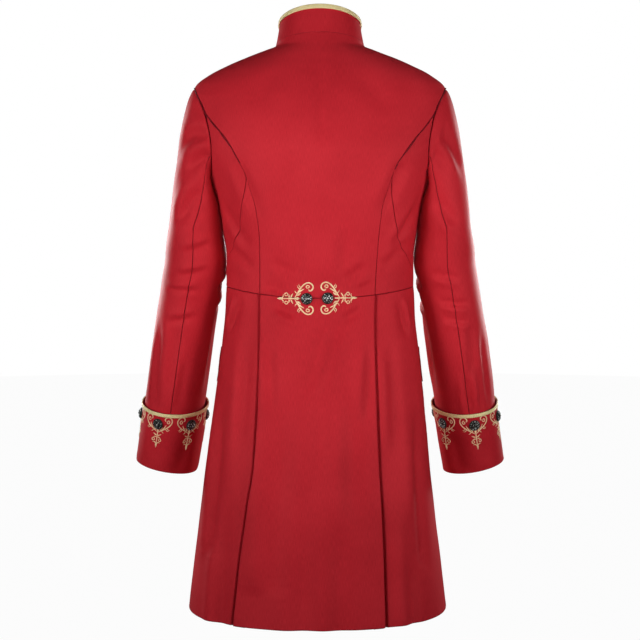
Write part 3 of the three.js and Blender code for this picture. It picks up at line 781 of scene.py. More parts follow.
bodiceFolds = backFolds + frontFolds
clothPiece("backBody", "back_body", besideEachOther(backHalf("right"), backHalf("left")),
           seed=3, paths=bodiceFolds)
bodiceParts = (
    ("gore", "gore", gorePatch), ("sideBody", "side_body", sidePatch),
    ("frontBody", "front_body", frontPatch),
)
for side in ("left", "right"):
    for name, node, patch in bodiceParts:
        clothPiece(f"{name}.{side}", f"{node}_{side}", patch(side), seed=3, paths=bodiceFolds)
print("bodice sewn")


# skirt

def downSkirt(z):
    return (coat["waistSide"] - z) / (coat["waistSide"] - coat["hem"])


def pleatDepth(z):
    return mix(pleat["atWaist"], pleat["atHem"], downSkirt(z))


def skirtGrid(columnList, side, sewn):
    length = coat["waistSide"] - coat["hem"]
    v = spread(length, round(length / weave["cell"]))
    tops = [waistOn(angleOf) for angleOf, _ in columnList]
    angle, z, lift = [], [], []
    for (angleOf, liftOf), top in zip(columnList, tops):
        level = mix(coat["hem"], top, v)
        angle.append(angleOf(level))
        z.append(level)
        lift.append(liftOf(level))
    place = np.stack([np.array(angle).T, np.array(z).T], -1)
    lift = np.array(lift).T
    points = bodyPoint(place[..., 0], place[..., 1])
    run = runAlong(points, 1)
    vv = np.repeat(v[:, None], len(columnList), 1)
    edge = seamDistance([run, run[:, -1:] - run, (1 - vv) * length, vv * length], (*sewn, 1, 1))
    return onBody(place, side, edge, lift)


def beyondPleat(side, distance):
    return lambda z: angleAt(backSeam[side](z) + distance, z)


def noLift(z):
    return 0 * z


def skirtBackHalf(side):
    main = [((lambda z, t=t: angleAt(t * (backSeam[side](z) - pleat["edge"]), z)), noLift)
            for t in steps(46, 0, 1)]
    turn = []
    for k in steps(8, 0, math.pi)[1:]:
        reach = -pleat["edge"] + pleat["edge"] * math.sin(k)
        turn.append((beyondPleat(side, reach), lambda z, k=k: -pleatDepth(z) / 2 * (1 - math.cos(k))))
    below = steps(3, pleat["edge"], pleat["turnUnder"])[1:]
    under = [(beyondPleat(side, -distance), lambda z: -pleatDepth(z)) for distance in below]
    return skirtGrid([*main, *turn, *under], side, (0, 0))


crevice = {"start": 2.2, "width": 3.6, "step": 3.4}  # a narrow dark gap beside the pleat's edge


def sideSeam(z):
    return underarm(z) * degrees


def skirtSidePatch(side):
    clear = beyondPleat(side, pleat["rise"])
    rising = []
    for distance in [*steps(4, -pleat["tuck"], 1), *steps(8, 1, 8)[1:], *steps(8, 8, pleat["rise"])[1:-1]]:
        jump = float(ease((distance - crevice["start"]) / crevice["width"]))
        share = float(ease((distance - pleat["clear"]) / (pleat["rise"] - pleat["clear"])))
        rising.append((beyondPleat(side, distance), lambda z, share=share, jump=jump:
                       mix(-2 * pleatDepth(z), -crevice["step"] * (1 - share), jump)))
    main = [((lambda z, t=t: mix(clear(z), sideSeam(z), t)), noLift)
            for t in spread(190, 38, crowdStart=False)]
    return skirtGrid([*rising, *main], side, (0, 1))


def frontEdge(z):
    return frontAngleAt(mix(-coat["lap"], coat["skirtGape"], downSkirt(z)), z)


def skirtFrontPatch(side):
    lapOf = lambda angleOf: lambda z: lapOffset(side, bodyPoint(angleOf(z), z)[..., 0])
    angles = [(lambda z, t=t: mix(sideSeam(z), frontEdge(z), t)) for t in spread(240, 46)]
    return skirtGrid([(angleOf, lapOf(angleOf)) for angleOf in angles], side, (1, 0))


skirtBackFolds = foldsOn(backAt, foldRows("""
-14 -452 22 -590 15 2.6 0.7 0.35 0.35 -1.7
-4 -560 -6 -760 19 1.9 0.5
74 -432 36 -452 7 1.7 0.8
-70 -436 -34 -458 7 1.2 0.7
60 -600 66 -900 22 2.6 0.6 0.4 0.1
-52 -560 -58 -800 19 2.2 0.6 0.4 0.3
24 -700 20 -960 20 2 0.6 0.5 0.01
-38 -760 -36 -960 18 1.8 0.6 0.5 0.01
84 -470 76 -620 9 1.6 0.7
-82 -480 -76 -640 9 1.6 0.7
"""))
skirtSideFolds = foldsOn(backAt, foldRows("""
132 -416 152 -486 7 2.2 1 0.35 0.35 1.5
-128 -418 -146 -492 7 2 1 0.35 0.35 -1.5
120 -470 132 -700 11 1.8 0.7
-116 -480 -128 -690 11 2 0.7
160 -560 176 -860 15 2.6 0.7 0.4 0.15
-158 -570 -174 -880 15 2.6 0.7 0.4 0.15
148 -720 162 -960 14 2.4 0.7 0.5 0.01
-146 -730 -158 -960 13 2.2 0.7 0.5 0.01
"""))
skirtFrontFolds = foldsOn(frontAt, foldRows("""
122 -430 134 -560 9 1.8 0.8
-120 -436 -134 -570 9 1.8 0.8
70 -440 84 -700 17 2.2 0.6
-66 -450 -80 -720 17 2.2 0.6
110 -640 128 -960 19 2.8 0.7 0.4 0.01
-114 -650 -130 -960 19 2.8 0.7 0.4 0.01
40 -620 62 -960 16 2 0.6 0.4 0.01
-36 -600 -60 -960 16 2 0.6 0.4 0.01
168 -520 184 -960 17 2.6 0.7 0.4 0.01
-166 -530 -186 -960 17 2.6 0.7 0.4 0.01
"""))


def hanging(grid):
    return {**grid, "leans": True}


skirtFolds = skirtSideFolds + skirtFrontFolds
skirtParts = (("skirtSide", "skirt_side", skirtSidePatch), ("skirtFront", "skirt_front", skirtFrontPatch))
clothPiece("skirtBack", "skirt_back", hanging(besideEachOther(skirtBackHalf("right"), skirtBackHalf("left"))),
           seed=5, paths=skirtBackFolds)
for side in ("left", "right"):
    for name, node, patch in skirtParts:
        clothPiece(f"{name}.{side}", f"{node}_{side}", hanging(patch(side)), seed=5, paths=skirtFolds)
print("skirt sewn")

flap = {"top": -508, "height": 60, "width": 115, "from": 94, "to": 132, "lift": 3.0}


def flapPatch(side):
    height, width = flap["height"], flap["width"]
    u, v = np.meshgrid(spread(width, 26), spread(height, 14))
    angle, z = mix(flap["from"], flap["to"], u) * degrees, mix(flap["top"] - height, flap["top"], v)
    edge = np.min([u * width, (1 - u) * width, v * height, (1 - v) * height], axis=0)
    return onBody(np.stack([angle, z], -1), side, edge, np.full(angle.shape, flap["lift"]))


for side in ("left", "right"):
    clothPiece(f"pocketFlap.{side}", f"pocket_flap_{side}", hanging(flapPatch(side)),
               seed=5, paths=skirtFolds)


# sleeves and cuffs

armTable = columnsOf("""
z x y halfWidth halfDepth outerRise backDrop
-300 212 -14 44.2 66 4 5
-355 212.2 -20 51.4 63 6 9
-397 219.5 -28 50.2 61 7 11
-501 236.4 -45 50.6 58 7 13
-608 252.6 -64 50.8 55.4 6 14
-660 260.8 -72.5 49.8 53 7 10
-718 269.7 -81.3 49.2 51.4 9.8 6
""")
cuffTable = columnsOf("""
z x y halfWidth halfDepth outerRise backDrop
-608 251.9 -63 54.9 60 2.5 15
-663 260.3 -72.5 53.7 57 6 10
-720 269.9 -81.5 52.4 54 10 6
""")
ringParts = ("x", "y", "halfWidth", "halfDepth", "outerRise", "backDrop")
arm = {name: smoothCurve(armTable, name) for name in ringParts}
cuffForm = {name: smoothCurve(cuffTable, name) for name in ringParts}
cap = {
    "sharp": 1.2,
    "leave": {"top": (62, 0, -50), "side": (52, 0, -42), "under": (20, 0, 14)},
    "arrive": {"top": (16, 0, -170), "side": (4, 0, -130), "under": (-16, 0, -62)},
}


sleeveSeamTable = columnsOf("""
z turn
0 120
0.45 113
0.8 101
1.05 91
1.4 88
2 87
""")
sleeveSeam = smoothCurve(sleeveSeamTable, "turn")  # by length, from the armhole's stop to the back of the arm


def ringPoint(form, z, turn):
    t = np.asarray(turn) * degrees
    return np.stack([
        form["x"](z) + form["halfWidth"](z) * np.cos(t),
        form["y"](z) + form["halfDepth"](z) * np.sin(t),
        z + form["outerRise"](z) * np.cos(t) - form["backDrop"](z) * np.sin(t),
    ], -1)


def capVector(table, turn):
    c = np.cos(np.asarray(turn) * degrees)[..., None]
    towards = np.where(c > 0, np.array(table["top"], float), np.array(table["under"], float))
    return mix(np.array(table["side"], float), towards, np.abs(c) ** cap["sharp"])


def onHole(place, turn):
    return place(*np.moveaxis(armholePoint(turn), -1, 0))


def holeStep(turn):
    run = onHole(bodyPoint, turn + slope["hole"]) - onHole(bodyPoint, turn - slope["hole"])
    normal = onHole(bodyNormal, turn)
    return unit(np.cross(run, normal)) * armhole["set"]


def sleevePoint(turn, length):  # length 0 is the armhole, 1 the first arm ring, 2 the sleeve's end
    turn, length = np.broadcast_arrays(np.asarray(turn, float), np.asarray(length, float))
    first, last = armTable["z"][0], armTable["z"][-1]
    lower = ringPoint(arm, mix(first, last, np.maximum(length - 1, 0)), turn)
    start = onHole(bodyPoint, turn) + holeStep(turn)
    weights = [w[..., None] for w in curveWeights(np.clip(length, 0, 1))]
    end = ringPoint(arm, first + 0 * turn, turn)
    parts = (start, capVector(cap["leave"], turn), end, capVector(cap["arrive"], turn))
    upper = sum(w * part for w, part in zip(weights, parts))
    return np.where((length >= 1)[..., None], lower, upper)


def carriedTurn(turn, length):  # a stop round the armhole, carried down the arm with the back seam
    turn, length = np.broadcast_arrays(np.asarray(turn, float), np.asarray(length, float))
    nearest = np.where(turn > armhole["sleeveBack"], armhole["sleeveFront"], armhole["sleeveFront"] - 360)
    shift = sleeveSeam(length) - armhole["sleeveBack"]
    return turn + shift * (turn - nearest) / (armhole["sleeveBack"] - nearest)


def cuffPoint(turn, length):
    return ringPoint(cuffForm, mix(cuffTable["z"][0], cuffTable["z"][-1], np.asarray(length, float)), turn)


def tubeGrid(surface, turns, lengths, side, sewn=(1, 1, 1, 0), carried=False):
    turn, length = np.meshgrid(turns, lengths)
    turn = carriedTurn(turn, length) if carried else turn
    points = surface(turn, length)
    down = surface(turn, length + slope["down"]) - surface(turn, np.maximum(0, length - slope["down"]))
    normals = unit(np.cross(down, around(surface, turn, length)))
    run, fall = runAlong(points, 1), runAlong(points, 0)
    edge = seamDistance([run, run[:, -1:] - run, fall, fall[-1:] - fall], sewn)
    return onSide({"points": points, "normals": normals, "edge": edge}, side)


underarmTouch = {"z": -268, "reach": 34, "by": 6.5}
seamTurn = {"deep": 2.4, "wide": 7}  # the sleeve's edge, turned in behind the armhole


def turnedIn(grid, turns, side):
    mirror = (mirrorX[side], 1, 1)
    inward = -onHole(bodyNormal, turns) * mirror * seamTurn["deep"]
    under = -unit(holeStep(turns)) * mirror * seamTurn["wide"]
    first = grid["points"][0]
    extra = np.array([first + inward + under, first + inward])
    return {
        "points": np.concatenate([extra, grid["points"]]),
        "normals": np.concatenate([grid["normals"][:1]] * 2 + [grid["normals"]]),
        "edge": np.concatenate([0 * grid["edge"][:2], grid["edge"]]),
    }


def towardsBody(grid, side):  # closes the gap where the arm hangs against the side
    points, by = grid["points"], underarmTouch["by"]
    facing = np.clip(-grid["normals"][..., 0] * mirrorX[side], 0, 1)
    share = np.exp(-((points[..., 2] - underarmTouch["z"]) / underarmTouch["reach"]) ** 2) * facing
    grid["points"] = points - np.stack([share * by * mirrorX[side], 0 * share, 0 * share], -1)
    return grid


sleeveFolds = {  # u is the turn, where 90 faces back and 0 out, and z the length, 1 to 2 down the arm
    "left": foldRows("""
118 0.16 58 0.62 13 2.6 0.8 0.2 0.4
96 0.1 30 0.5 12 2 0.7 0.2 0.4
112 0.52 50 1.02 12 2.2 0.7
132 1.05 64 1.1 6 1.5 0.9
124 1.15 58 1.19 6 1.7 0.9
116 1.23 40 1.25 5 1.5 0.9
118 1.33 50 1.38 6 1.6 0.8
70 1.3 84 1.72 11 1.8 0.6
40 1.36 52 1.8 11 1.6 0.6
104 1.46 98 1.76 8 1.4 0.7
"""),
    "right": foldRows("""
112 0.14 70 0.58 13 2 0.7 0.2 0.4
74 0.2 28 0.7 13 2 0.7 0.2 0.4
120 0.6 62 1.04 11 1.9 0.7
128 1.16 66 1.2 6 1.5 0.9
122 1.27 52 1.31 6 1.8 0.9
116 1.34 58 1.38 5 1.6 0.9
60 1.34 72 1.66 10 1.6 0.6
84 1.56 86 1.76 6 2 0.8
58 1.54 62 1.76 6 1.8 0.8
36 1.4 44 1.76 9 1.5 0.6
"""),
    "both": foldRows("""
-64 0.2 -30 0.8 13 2 0.6
-50 1.12 -96 1.16 6 1.7 0.9
-40 1.22 -100 1.26 6 2 0.9
-46 1.31 -104 1.34 6 1.8 0.9
-38 1.4 -96 1.46 6 1.5 0.8
-56 1.44 -66 1.76 10 1.6 0.6
-24 1.36 -20 1.78 12 1.5 0.6
4 0.4 10 1.2 14 1.3 0.5
170 1.3 158 1.7 10 1.5 0.6
206 1.18 150 1.24 6 1.8 0.8
208 1.28 156 1.33 6 1.5 0.8
"""),
}
cuffFolds = foldRows("""
64 0.1 70 0.95 12 1 0.6
128 0.2 118 1 14 1.2 0.6 0.4 0.1
-60 0.1 -52 0.95 14 1.1 0.6 0.4 0.1
210 0.1 204 1 14 1.1 0.6 0.4 0.1
""")
sleeveLengths = np.concatenate([spread(190, 40, crowdEnd=False), 1 + spread(420, 92, crowdStart=False)[1:]])
upperSpan = (armhole["sleeveFront"] - 360, armhole["sleeveBack"])
underSpan = (armhole["sleeveBack"], armhole["sleeveFront"])
for side, mirror in mirrorX.items():
    folds = foldsOn(sleevePoint, sleeveFolds[side] + sleeveFolds["both"], mirror)
    for part, span, width, count in (("upper", upperSpan, 210, 46), ("under", underSpan, 150, 34)):
        turns = mix(*span, spread(width, count))
        grid = towardsBody(tubeGrid(sleevePoint, turns, sleeveLengths, side, carried=True), side)
        clothPiece(f"{part}Sleeve.{side}", f"{part}_sleeve_{side}", turnedIn(grid, turns, side),
                   seed=7, paths=folds)
    grid = tubeGrid(cuffPoint, steps(96, 0, 360), spread(112, 24), side, sewn=(0, 0, 1, 1))
    clothPiece(f"cuff.{side}", f"cuff_{side}", grid, closedRound=True, seed=8, wobble=0.3,
               paths=foldsOn(cuffPoint, cuffFolds, mirror))
print("sleeves sewn")


# collar

collar = {
    "side": 40, "back": 45, "front": 42, "round": 430, "lean": 0.9, "curve": 0.8, "gap": 2.6, "clear": 0.2,
    "seamShade": 0.7,
}


def collarPoint(turn, share):
    turn, share = np.broadcast_arrays(np.asarray(turn, float), np.asarray(share, float))
    side = np.where(turn < 0, -1.0, 1.0)
    place = neckPoint(np.abs(turn))
    angle, z = place[..., 0], place[..., 1]
    base, c = bodyPoint(angle, z), np.cos(turn * degrees)
    clear = coat["cloth"] / 2 * bodyNormal(angle, z)[..., 2] + collar["clear"]
    clear = clear + coat["lapLift"] * np.maximum(0, -c)
    height = mix(collar["side"], np.where(c > 0, collar["back"], collar["front"]), c * c)
    scale = mix(1, collar["lean"], np.maximum(0, share) ** collar["curve"])
    rise = base[..., 2] + clear + height * share
    return np.stack([side * base[..., 0] * scale, base[..., 1] * scale, rise], -1)


def collarGrid(turns, shares):
    turn, share = np.meshgrid(turns, shares)
    points = collarPoint(turn, share)
    up = collarPoint(turn, share + slope["share"]) - collarPoint(turn, share)
    normals = unit(np.cross(up, around(collarPoint, turn, share)))
    edge = np.clip(share, 0, 1) * collar["back"] + collar["seamShade"]
    return {"points": points, "normals": normals, "edge": np.minimum(edge, weave["edgeMost"])}


collarEnd = 180 - collar["gap"]
collarTurns = mix(-collarEnd, collarEnd, spread(collar["round"], 100))
collarShares = mix(-0.03, 1, spread(44, 10))  # starts just inside the neck seam
clothPiece("collar", "collar", collarGrid(collarTurns, collarShares), seed=11, wobble=0.15)
print("collar sewn")


# braid: a woven gold gimp with a herringbone face

braid = {
    "width": 6.5, "thickness": 1.8, "proud": 0.6, "gap": 0.3, "rows": 9, "step": 0.75,
    "chevron": 4.2, "slant": 0.9, "repeats": 86, "relief": 0.62,
    "crown": 0.35, "groove": 0.25, "grooveWidth": 0.16,
}


def gimp(band, run, closedRound):  # works the herringbone into the band's points, run is the length along it
    rows = band["points"].shape[0]
    across = np.linspace(-1, 1, rows)[:, None]
    rib = np.abs(np.sin(math.pi * (run[None] / braid["chevron"] + np.abs(across) * braid["slant"])))
    groove = braid["groove"] * np.exp(-(across / braid["grooveWidth"]) ** 2)  # between two rounded rows
    crown = braid["crown"] * (1 - across ** 2) - groove
    height = braid["relief"] * (rib - 0.5) * (1 - 0.4 * np.abs(across)) + crown
    if closedRound:
        height[:, -1] = height[:, 0]
    band["points"] = band["points"] + band["normals"] * height[..., None]
    return band


def bandPiece(name, node, grid, closedRound):
    mesh = sheetMesh(name, grid["points"], grid, closedRound)
    piece = linked(name, mesh)
    mesh.materials.append(looks["braid"])
    wall = piece.modifiers.new("wall", "SOLIDIFY")
    wall.thickness, wall.offset = braid["thickness"] * mm, 0
    return placed(piece, "braid", node)


braidLift = coat["cloth"] / 2 + braid["gap"] + braid["thickness"] / 2
low, high = 1 - (braid["width"] - braid["proud"]) / collar["side"], 1 + braid["proud"] / collar["side"]
count = round(collar["round"] / braid["step"])
band = collarGrid(np.linspace(-collarEnd, collarEnd, count + 1), np.linspace(low, high, braid["rows"]))
band["points"] = band["points"] + band["normals"] * braidLift
band = gimp(band, np.linspace(0, collar["round"], count + 1), False)
collarBraid = bandPiece("collarBraid", "collar_braid", band, False)
cuffHeight = cuffTable["z"][0] - cuffTable["z"][-1]
cuffRound = braid["repeats"] * braid["chevron"]
count = round(cuffRound / braid["step"])
cuffBraid = {}
for side in ("left", "right"):
    lengths = np.linspace(0, (braid["width"] - braid["proud"]) / cuffHeight, braid["rows"])
    band = tubeGrid(cuffPoint, steps(count, 0, 360), lengths, side)
    band["points"] = band["points"] + band["normals"] * braidLift
    band = gimp(band, np.linspace(0, cuffRound, count + 1), True)
    cuffBraid[side] = bandPiece(f"cuffBraid.{side}", f"cuff_braid_{side}", band, True)
print("braid laid")


# scrollwork: raised gold stitching, drawn flat as (along, across) the stem in millimetres

scroll = {
    "step": 0.95, "sides": 8, "sink": 0.12, "rise": 0.78, "highest": 1.15, "knurl": 0.09, "smooth": 3,
    "reach": 20, "blunt": 14,  # reach is how far off the cloth is looked for
    "middle": [  # points, then the half width at the start, middle and end
        ([(9.5, 0), (20, 0), (32, 0), (43, 0)], (0.5, 1.25, 0.7)),
        ([(39.5, 0), (42.5, 0), (50, 0)], (0.5, 2.3, 0.2)),
        ([(10.5, 0), (15, 0), (20.5, 0)], (0.5, 2.7, 0.5)),
    ],
    "halves": [
        ([(43, 0.4), (40.2, 2.2), (38.8, 5), (39.6, 8.6)], (0.9, 0.95, 0.25)),  # barb behind the tip
        ([(29.5, 1), (28.8, 4.6), (30.6, 8.4)], (0.8, 1.15, 0.2)),  # leaves in a V
        ([(26.5, 1), (24.8, 5), (22.2, 9.6)], (0.8, 1.25, 0.2)),
        ([(20, 0.6), (17.2, 5.2), (14.4, 10), (10.6, 16.2), (5.4, 23.2), (-1.2, 27.6),
          (-7.6, 26.8), (-11.4, 22.2), (-11.2, 17.2), (-8, 13.8), (-4.4, 14.2), (-3.8, 16.6)],
         (0.8, 1.15, 1.3)),  # the great C
        ([(15, 8.4), (11.2, 12.2), (7, 15), (3, 17.2)], (0.6, 1.3, 0.5)),  # the inner arm
        ([(16.2, 5), (11.6, 7.6), (8.8, 10.6)], (0.5, 1.7, 0.3)),  # leaf beside the button
        ([(9.8, 16.8), (13.2, 18.2), (14.6, 21), (14.2, 24)], (0.8, 0.75, 0.2)),  # thorns
        ([(8.6, 19), (12, 21.8), (12.6, 25.6)], (0.7, 0.7, 0.2)),
        ([(15.4, 9), (18.6, 11.2), (19.2, 14.4)], (0.6, 0.85, 0.2)),
    ],
    "rings": [  # centre, radius, start and sweep in degrees, how far it winds in, half widths
        ((33.8, 7.3), 3.1, -100, 400, 0.8, (0.7, 0.8, 0.6)),
        ((-2.4, 20.2), 3.7, 210, -420, 0.5, (0.7, 0.9, 0.8)),
    ],
}


def throughPoints(points, count):  # a smooth line through given points
    knots = np.array([points[0], *points, points[-1]], float)
    place = np.linspace(0, len(points) - 1, count)
    i = np.minimum(place.astype(int), len(points) - 2)
    t = (place - i)[:, None]
    a, b, c, d = (knots[i + k] for k in range(4))
    square, cube = 2 * a - 5 * b + 4 * c - d, 3 * b - a - 3 * c + d
    return 0.5 * (2 * b + (c - a) * t + square * t ** 2 + cube * t ** 3)


def evenly(line, widths):
    run = runAlong(line, 0)
    place = np.linspace(0, run[-1], max(6, round(run[-1] / scroll["step"])))
    even = np.stack([np.interp(place, run, line[:, k]) for k in (0, 1)], -1)
    share = place / run[-1]
    half = np.interp(share, (0, 0.45, 1), widths)
    return even, half * np.sqrt(np.clip(1 - np.abs(2 * share - 1) ** scroll["blunt"], 0.02, 1))


def ringLine(centre, radius, start, sweep, wind):
    share = steps(60, 0, 1)
    turn = (start + sweep * share) * degrees
    reach = radius * mix(1, wind, share)
    return np.stack([centre[0] + reach * np.cos(turn), centre[1] + reach * np.sin(turn)], -1)


def scrollStrokes(alongScale, acrossScale):
    strokes = [evenly(throughPoints(points, 90), widths) for points, widths in scroll["middle"]]
    for mirror in (1, -1):
        for points, widths in scroll["halves"]:
            strokes.append(evenly(throughPoints(points, 120) * (1, mirror), widths))
        for *ring, widths in scroll["rings"]:
            strokes.append(evenly(ringLine(*ring) * (1, mirror), widths))
    return [(line * (alongScale, acrossScale), half) for line, half in strokes]


def layOn(under, guess, normals):  # the nearest cloth under each point
    found, reach = [], scroll["reach"] * mm
    for point, normal in zip(guess, normals):
        ray = Vector(normal)
        hit = under.ray_cast(Vector(point * mm) + ray * reach, -ray, 2 * reach)[0]
        found.append(np.array(hit) / mm if hit else point)
    line = np.array(found)
    for _ in range(scroll["smooth"]):
        line[1:-1] = (line[:-2] + 2 * line[1:-1] + line[2:]) / 4
    return line


def stitchedCord(bm, line, normals, half):
    rows, sides = len(line), scroll["sides"]
    made = bmesh.ops.create_grid(bm, x_segments=sides, y_segments=rows - 1, size=1)["verts"]
    forward = unit(np.gradient(line, axis=0))
    aside = unit(np.cross(forward, normals))
    turn = np.linspace(0, -2 * math.pi, sides + 1)
    rise = np.minimum(half * scroll["rise"] + 0.15, scroll["highest"])
    knurl = 1 + scroll["knurl"] * (np.arange(rows) % 2 * 2 - 1)
    knurl[[0, -1]] = 0.05
    out = aside[:, None] * (half * knurl)[:, None, None] * np.cos(turn)[None, :, None]
    lifted = np.sin(turn) * np.where(turn < -math.pi, 1, 0.3)  # flatter on the side that lies on the cloth
    up = normals[:, None] * (rise * knurl)[:, None, None] * lifted[None, :, None]
    points = (line[:, None] + out + up - normals[:, None] * scroll["sink"]) * mm
    run = runAlong(line, 0) * mm
    uv = bm.loops.layers.uv.verify()
    for i, vert in enumerate(made):
        r, c = divmod(i, sides + 1)
        vert.co = points[r, c]
    faces = {face for vert in made for face in vert.link_faces}
    bm.verts.index_update()
    first = made[0].index
    for face in faces:
        face.smooth = True
        for loop in face.loops:
            r, c = divmod(loop.vert.index - first, sides + 1)
            loop[uv].uv = (run[r], c / sides * 2.6 * half[r] * mm)


def scrollPiece(name, under, surface, form):
    bm = bmesh.new()
    for line, half in scrollStrokes(form["alongScale"], form["acrossScale"]):
        guess, normals = surface(line[:, 0] + form["shift"], line[:, 1])
        stitchedCord(bm, layOn(under, guess, normals), normals, half * form["weight"])
    bmesh.ops.remove_doubles(bm, verts=bm.verts, dist=weave["merge"])
    bmesh.ops.recalc_face_normals(bm, faces=bm.faces)
    return placed(linked(name, meshFrom(bm, name, looks["stitch"])), "braid")


def treeOf(*pieces):
    points, faces = [], []
    for piece in pieces:
        first = len(points)
        points += [vert.co.copy() for vert in piece.data.vertices]
        faces += [[first + v for v in face.vertices] for face in piece.data.polygons]
    return BVHTree.FromPolygons(points, faces)


def middleOf(node):
    low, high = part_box(node)
    return (np.array(low) + np.array(high)) / 2 / mm


def outOfCuff(side, turn, length):
    def surface(along, across):
        lengths = length + along / cuffHeight
        turns = turn + across / cuffForm["halfWidth"](cuffTable["z"][0]) / degrees
        down = cuffPoint(turns, lengths + slope["share"]) - cuffPoint(turns, lengths - slope["share"])
        mirror = (mirrorX[side], 1, 1)
        normals = unit(np.cross(down, around(cuffPoint, turns, lengths)))
        return cuffPoint(turns, lengths) * mirror, normals * mirror
    return surface


def outOfBack(x, z, way):
    def surface(along, across):
        zs, xs = z + across, x + way * along
        angle = angleAt(xs, zs)
        return bodyPoint(angle, zs), bodyNormal(angle, zs)
    return surface


cuffButton = {"count": 6, "first": {"left": 7, "right": 21}, "below": 22}
cuffScroll = {"alongScale": 1.03, "acrossScale": 0.87, "shift": -3.6, "weight": 0.84}
waistScroll = {"alongScale": 0.96, "acrossScale": 0.93, "shift": 0.4, "weight": 1.0}
backNames = ("backBody", "skirtBack", "gore.left", "gore.right", "skirtSide.left", "skirtSide.right")
backCloth = treeOf(*(bpy.data.objects[name] for name in backNames))
scrollwork = {"waist": [], "left": [], "right": []}
for side, way in mirrorX.items():
    x, _, z = middleOf(f"waist_button_{side}")
    surface = outOfBack(x, z, way)
    scrollwork["waist"].append(scrollPiece(f"waistScroll.{side}", backCloth, surface, waistScroll))
    cuffCloth = treeOf(bpy.data.objects[f"cuff.{side}"])
    for i in range(cuffButton["count"]):
        turn = cuffButton["first"][side] + i * 360 / cuffButton["count"]
        surface = outOfCuff(side, turn, cuffButton["below"] / cuffHeight)
        scrollwork[side].append(scrollPiece(f"cuffScroll.{side}.{i + 1}", cuffCloth, surface, cuffScroll))
print("scrollwork stitched")


# buttons: a domed dark setting under a cluster of small cut stones

buttonForm = {
    "fronts": 7, "steps": 24, "curve": 9.5,
    "foot": [(0, 0), (8.6, 0), (9.5, 0.5), (9.7, 1.3)],
    "dome": [(9.3, 2.1), (8.6, 2.5), (6.6, 3.7), (3.6, 4.6), (0, 4.8)],
    "stones": [(1, 0, 2.1, 0), (6, 4.6, 1.7, 0), (12, 7.7, 1.3, 15)],  # how many, ring radius, size, turn
    "cut": {"sides": 7, "table": 0.5, "depth": 0.75, "rise": 0.3},  # of a stone, as shares of its size
}


def domeHeight(reach):
    return float(np.interp(reach, *zip(*buttonForm["dome"][::-1])))


def buttonMesh():
    bm = bmesh.new()
    cut = buttonForm["cut"]
    rim = [bm.verts.new((r * mm, 0, z * mm)) for r, z in buttonForm["foot"] + buttonForm["dome"]]
    edges = [bm.edges.new(pair) for pair in zip(rim, rim[1:])]
    bmesh.ops.spin(bm, geom=rim + edges, cent=(0, 0, 0), axis=(0, 0, 1), angle=2 * math.pi,
                   steps=buttonForm["steps"], use_merge=True)
    bmesh.ops.remove_doubles(bm, verts=bm.verts, dist=0.00001)
    for face in bm.faces:
        face.smooth = True
    for count, ring, size, turn in buttonForm["stones"]:
        for k in range(count):
            angle = (turn + 360 * k / count) * degrees
            stone = bmesh.ops.create_cone(
                bm, cap_ends=True, segments=cut["sides"], radius1=size * mm,
                radius2=size * cut["table"] * mm, depth=size * cut["depth"] * mm)["verts"]
            lean = math.atan2(ring, buttonForm["curve"])
            turned = Vector((math.cos(angle), math.sin(angle), 0))
            way = Vector((turned.x * math.sin(lean), turned.y * math.sin(lean), math.cos(lean)))
            tilt = Vector((0, 0, 1)).rotation_difference(way)
            bmesh.ops.rotate(bm, verts=stone, cent=(0, 0, 0), matrix=tilt.to_matrix())
            seat = turned * ring * mm + Vector((0, 0, (domeHeight(ring) + size * cut["rise"]) * mm))
            bmesh.ops.translate(bm, verts=stone, vec=seat)
            for face in {face for vert in stone for face in vert.link_faces}:
                face.material_index = 1
    bmesh.ops.recalc_face_normals(bm, faces=bm.faces)
    return meshFrom(bm, "button", looks["setting"], looks["stone"])


def buttonOn(name, node, away=None):  # faces away from that point, or else out from the middle plane
    corners = np.array([vert.co for vert in frame["nodes"][node].data.vertices]) / mm
    middle = middleOf(node)
    away = middle * (1, 0, 1) if away is None else away
    flattest = np.linalg.svd(corners - corners.mean(0), full_matrices=False)[2][2]
    axis = flattest if flattest @ (middle - away) > 0 else -flattest
    seat = middle + axis * ((corners - middle) @ axis).min()
    piece = linked(name, buttonPattern.copy())
    turn = Vector((0, 0, 1)).rotation_difference(Vector(axis)).to_matrix().to_4x4()
    piece.data.transform(turn)
    for vert in piece.data.vertices:
        vert.co += Vector(seat * mm)
    return placed(piece, "gem", node)


buttonPattern = buttonMesh()
for side in ("left", "right"):
    inside = middleOf(f"cuff_{side}")
    for i in range(cuffButton["count"]):
        buttonOn(f"cuffButton.{side}.{i + 1}", f"cuff_button_{side}_{i + 1}", inside)
    buttonOn(f"waistButton.{side}", f"waist_button_{side}")
for i in range(buttonForm["fronts"]):
    buttonOn(f"frontButton.{i + 1}", f"front_button_{i + 1}")
print("buttons sewn on")

trims = {f"cuff.{side}": [cuffBraid[side], *scrollwork[side]] for side in ("left", "right")}
trims |= {"collar": [collarBraid], "backBody": scrollwork["waist"]}
for piece in cloth:
    declared(trims.get(piece.name, ()))
print(f"{len(cloth)} cuts of cloth declared")


# studio

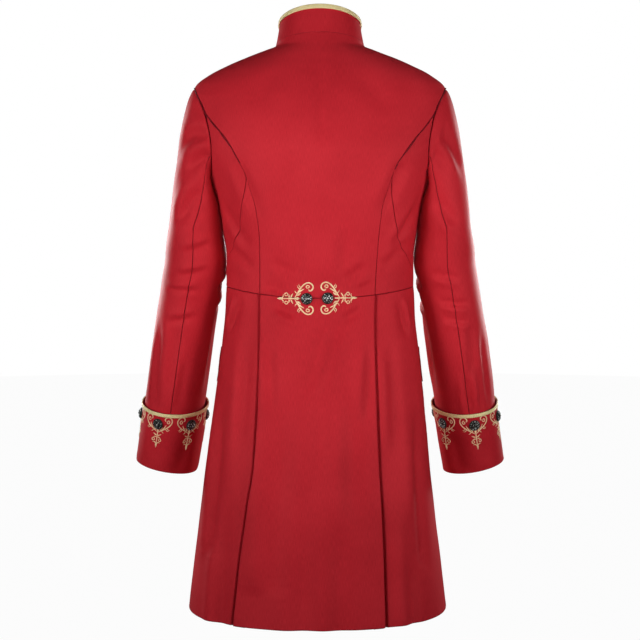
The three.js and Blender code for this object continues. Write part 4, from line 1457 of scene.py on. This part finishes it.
studio = {
    "eye": (0.0, 2.461, -0.3045), "aimDown": 1.635, "shift": -0.08, "lens": 81.6, "sensor": 36,
    "floor": -1.45, "floorRadius": 9, "white": "302F2E", "floorGlow": 0.97, "ambient": 0.02,
    "lights": [  # name, place, aim, size, spread in degrees, watts
        ("backMiddle", (0.05, 1.9, -0.22), (0, 0, -0.27), 0.5, 50, 1.0),
        ("backLeft", (1.55, 1.35, -0.3), (0, 0, -0.36), 0.7, 85, 4.6),
        ("backRight", (-1.55, 1.35, -0.3), (0, 0, -0.36), 0.7, 85, 4.3),
        ("frontMiddle", (-0.05, -1.9, -0.22), (0, 0, -0.3), 0.5, 70, 2.4),
        ("frontLeft", (1.35, -1.5, -0.25), (0, 0, -0.36), 0.7, 90, 6.2),
        ("frontRight", (-1.35, -1.5, -0.25), (0, 0, -0.36), 0.7, 90, 6.2),
        ("topFill", (0, 0.1, 1.6), (0, 0, -0.4), 1.2, 120, 1.0),
    ],
}


def placeCamera():
    camera = bpy.data.cameras.new("camera")
    camera.lens, camera.sensor_width, camera.shift_y = studio["lens"], studio["sensor"], studio["shift"]
    eye = linked("camera", camera)
    eye.location = studio["eye"]
    eye.rotation_euler = ((90 - studio["aimDown"]) * degrees, 0, math.pi)
    bpy.context.scene.camera = eye


def backdrop():
    bm = bmesh.new()
    bmesh.ops.create_circle(bm, cap_ends=True, segments=96, radius=studio["floorRadius"])
    bmesh.ops.translate(bm, verts=bm.verts, vec=(0, 0, studio["floor"]))
    floorLook = {
        "Roughness": 0.9, "Specular IOR Level": 0.0,
        "Emission Color": (1, 1, 1, 1), "Emission Strength": studio["floorGlow"],
    }
    piece = linked("floor", meshFrom(bm, "floor", plainLook("paleFloor", studio["white"], **floorLook)))
    piece.visible_diffuse = piece.visible_glossy = False  # the floor throws no light up the coat


def softLight(name, place, aim, size, spread, power):
    light = bpy.data.lights.new(name, "AREA")
    light.shape, light.size, light.energy, light.spread = "DISK", size, power, spread * degrees
    lamp = linked(name, light)
    lamp.location = place
    lamp.visible_camera = False
    lamp.rotation_mode = "QUATERNION"
    lamp.rotation_quaternion = (Vector(aim) - Vector(place)).to_track_quat("-Z", "Y")


placeCamera()
backdrop()
world = bpy.data.worlds.new("studio")
bpy.context.scene.world = world
world.use_nodes = True
sky = world.node_tree
seen = add(sky, "LightPath").outputs["Is Camera Ray"]
strength = add(sky, "MapRange", {"Value": seen, "To Min": studio["ambient"], "To Max": 1.0})
sky.links.new(strength.outputs[0], sky.nodes["Background"].inputs["Strength"])
sky.nodes["Background"].inputs["Color"].default_value = (1, 1, 1, 1)
for light in studio["lights"]:
    softLight(*light)
bpy.context.scene.view_settings.view_transform = "Standard"
print("studio ready")
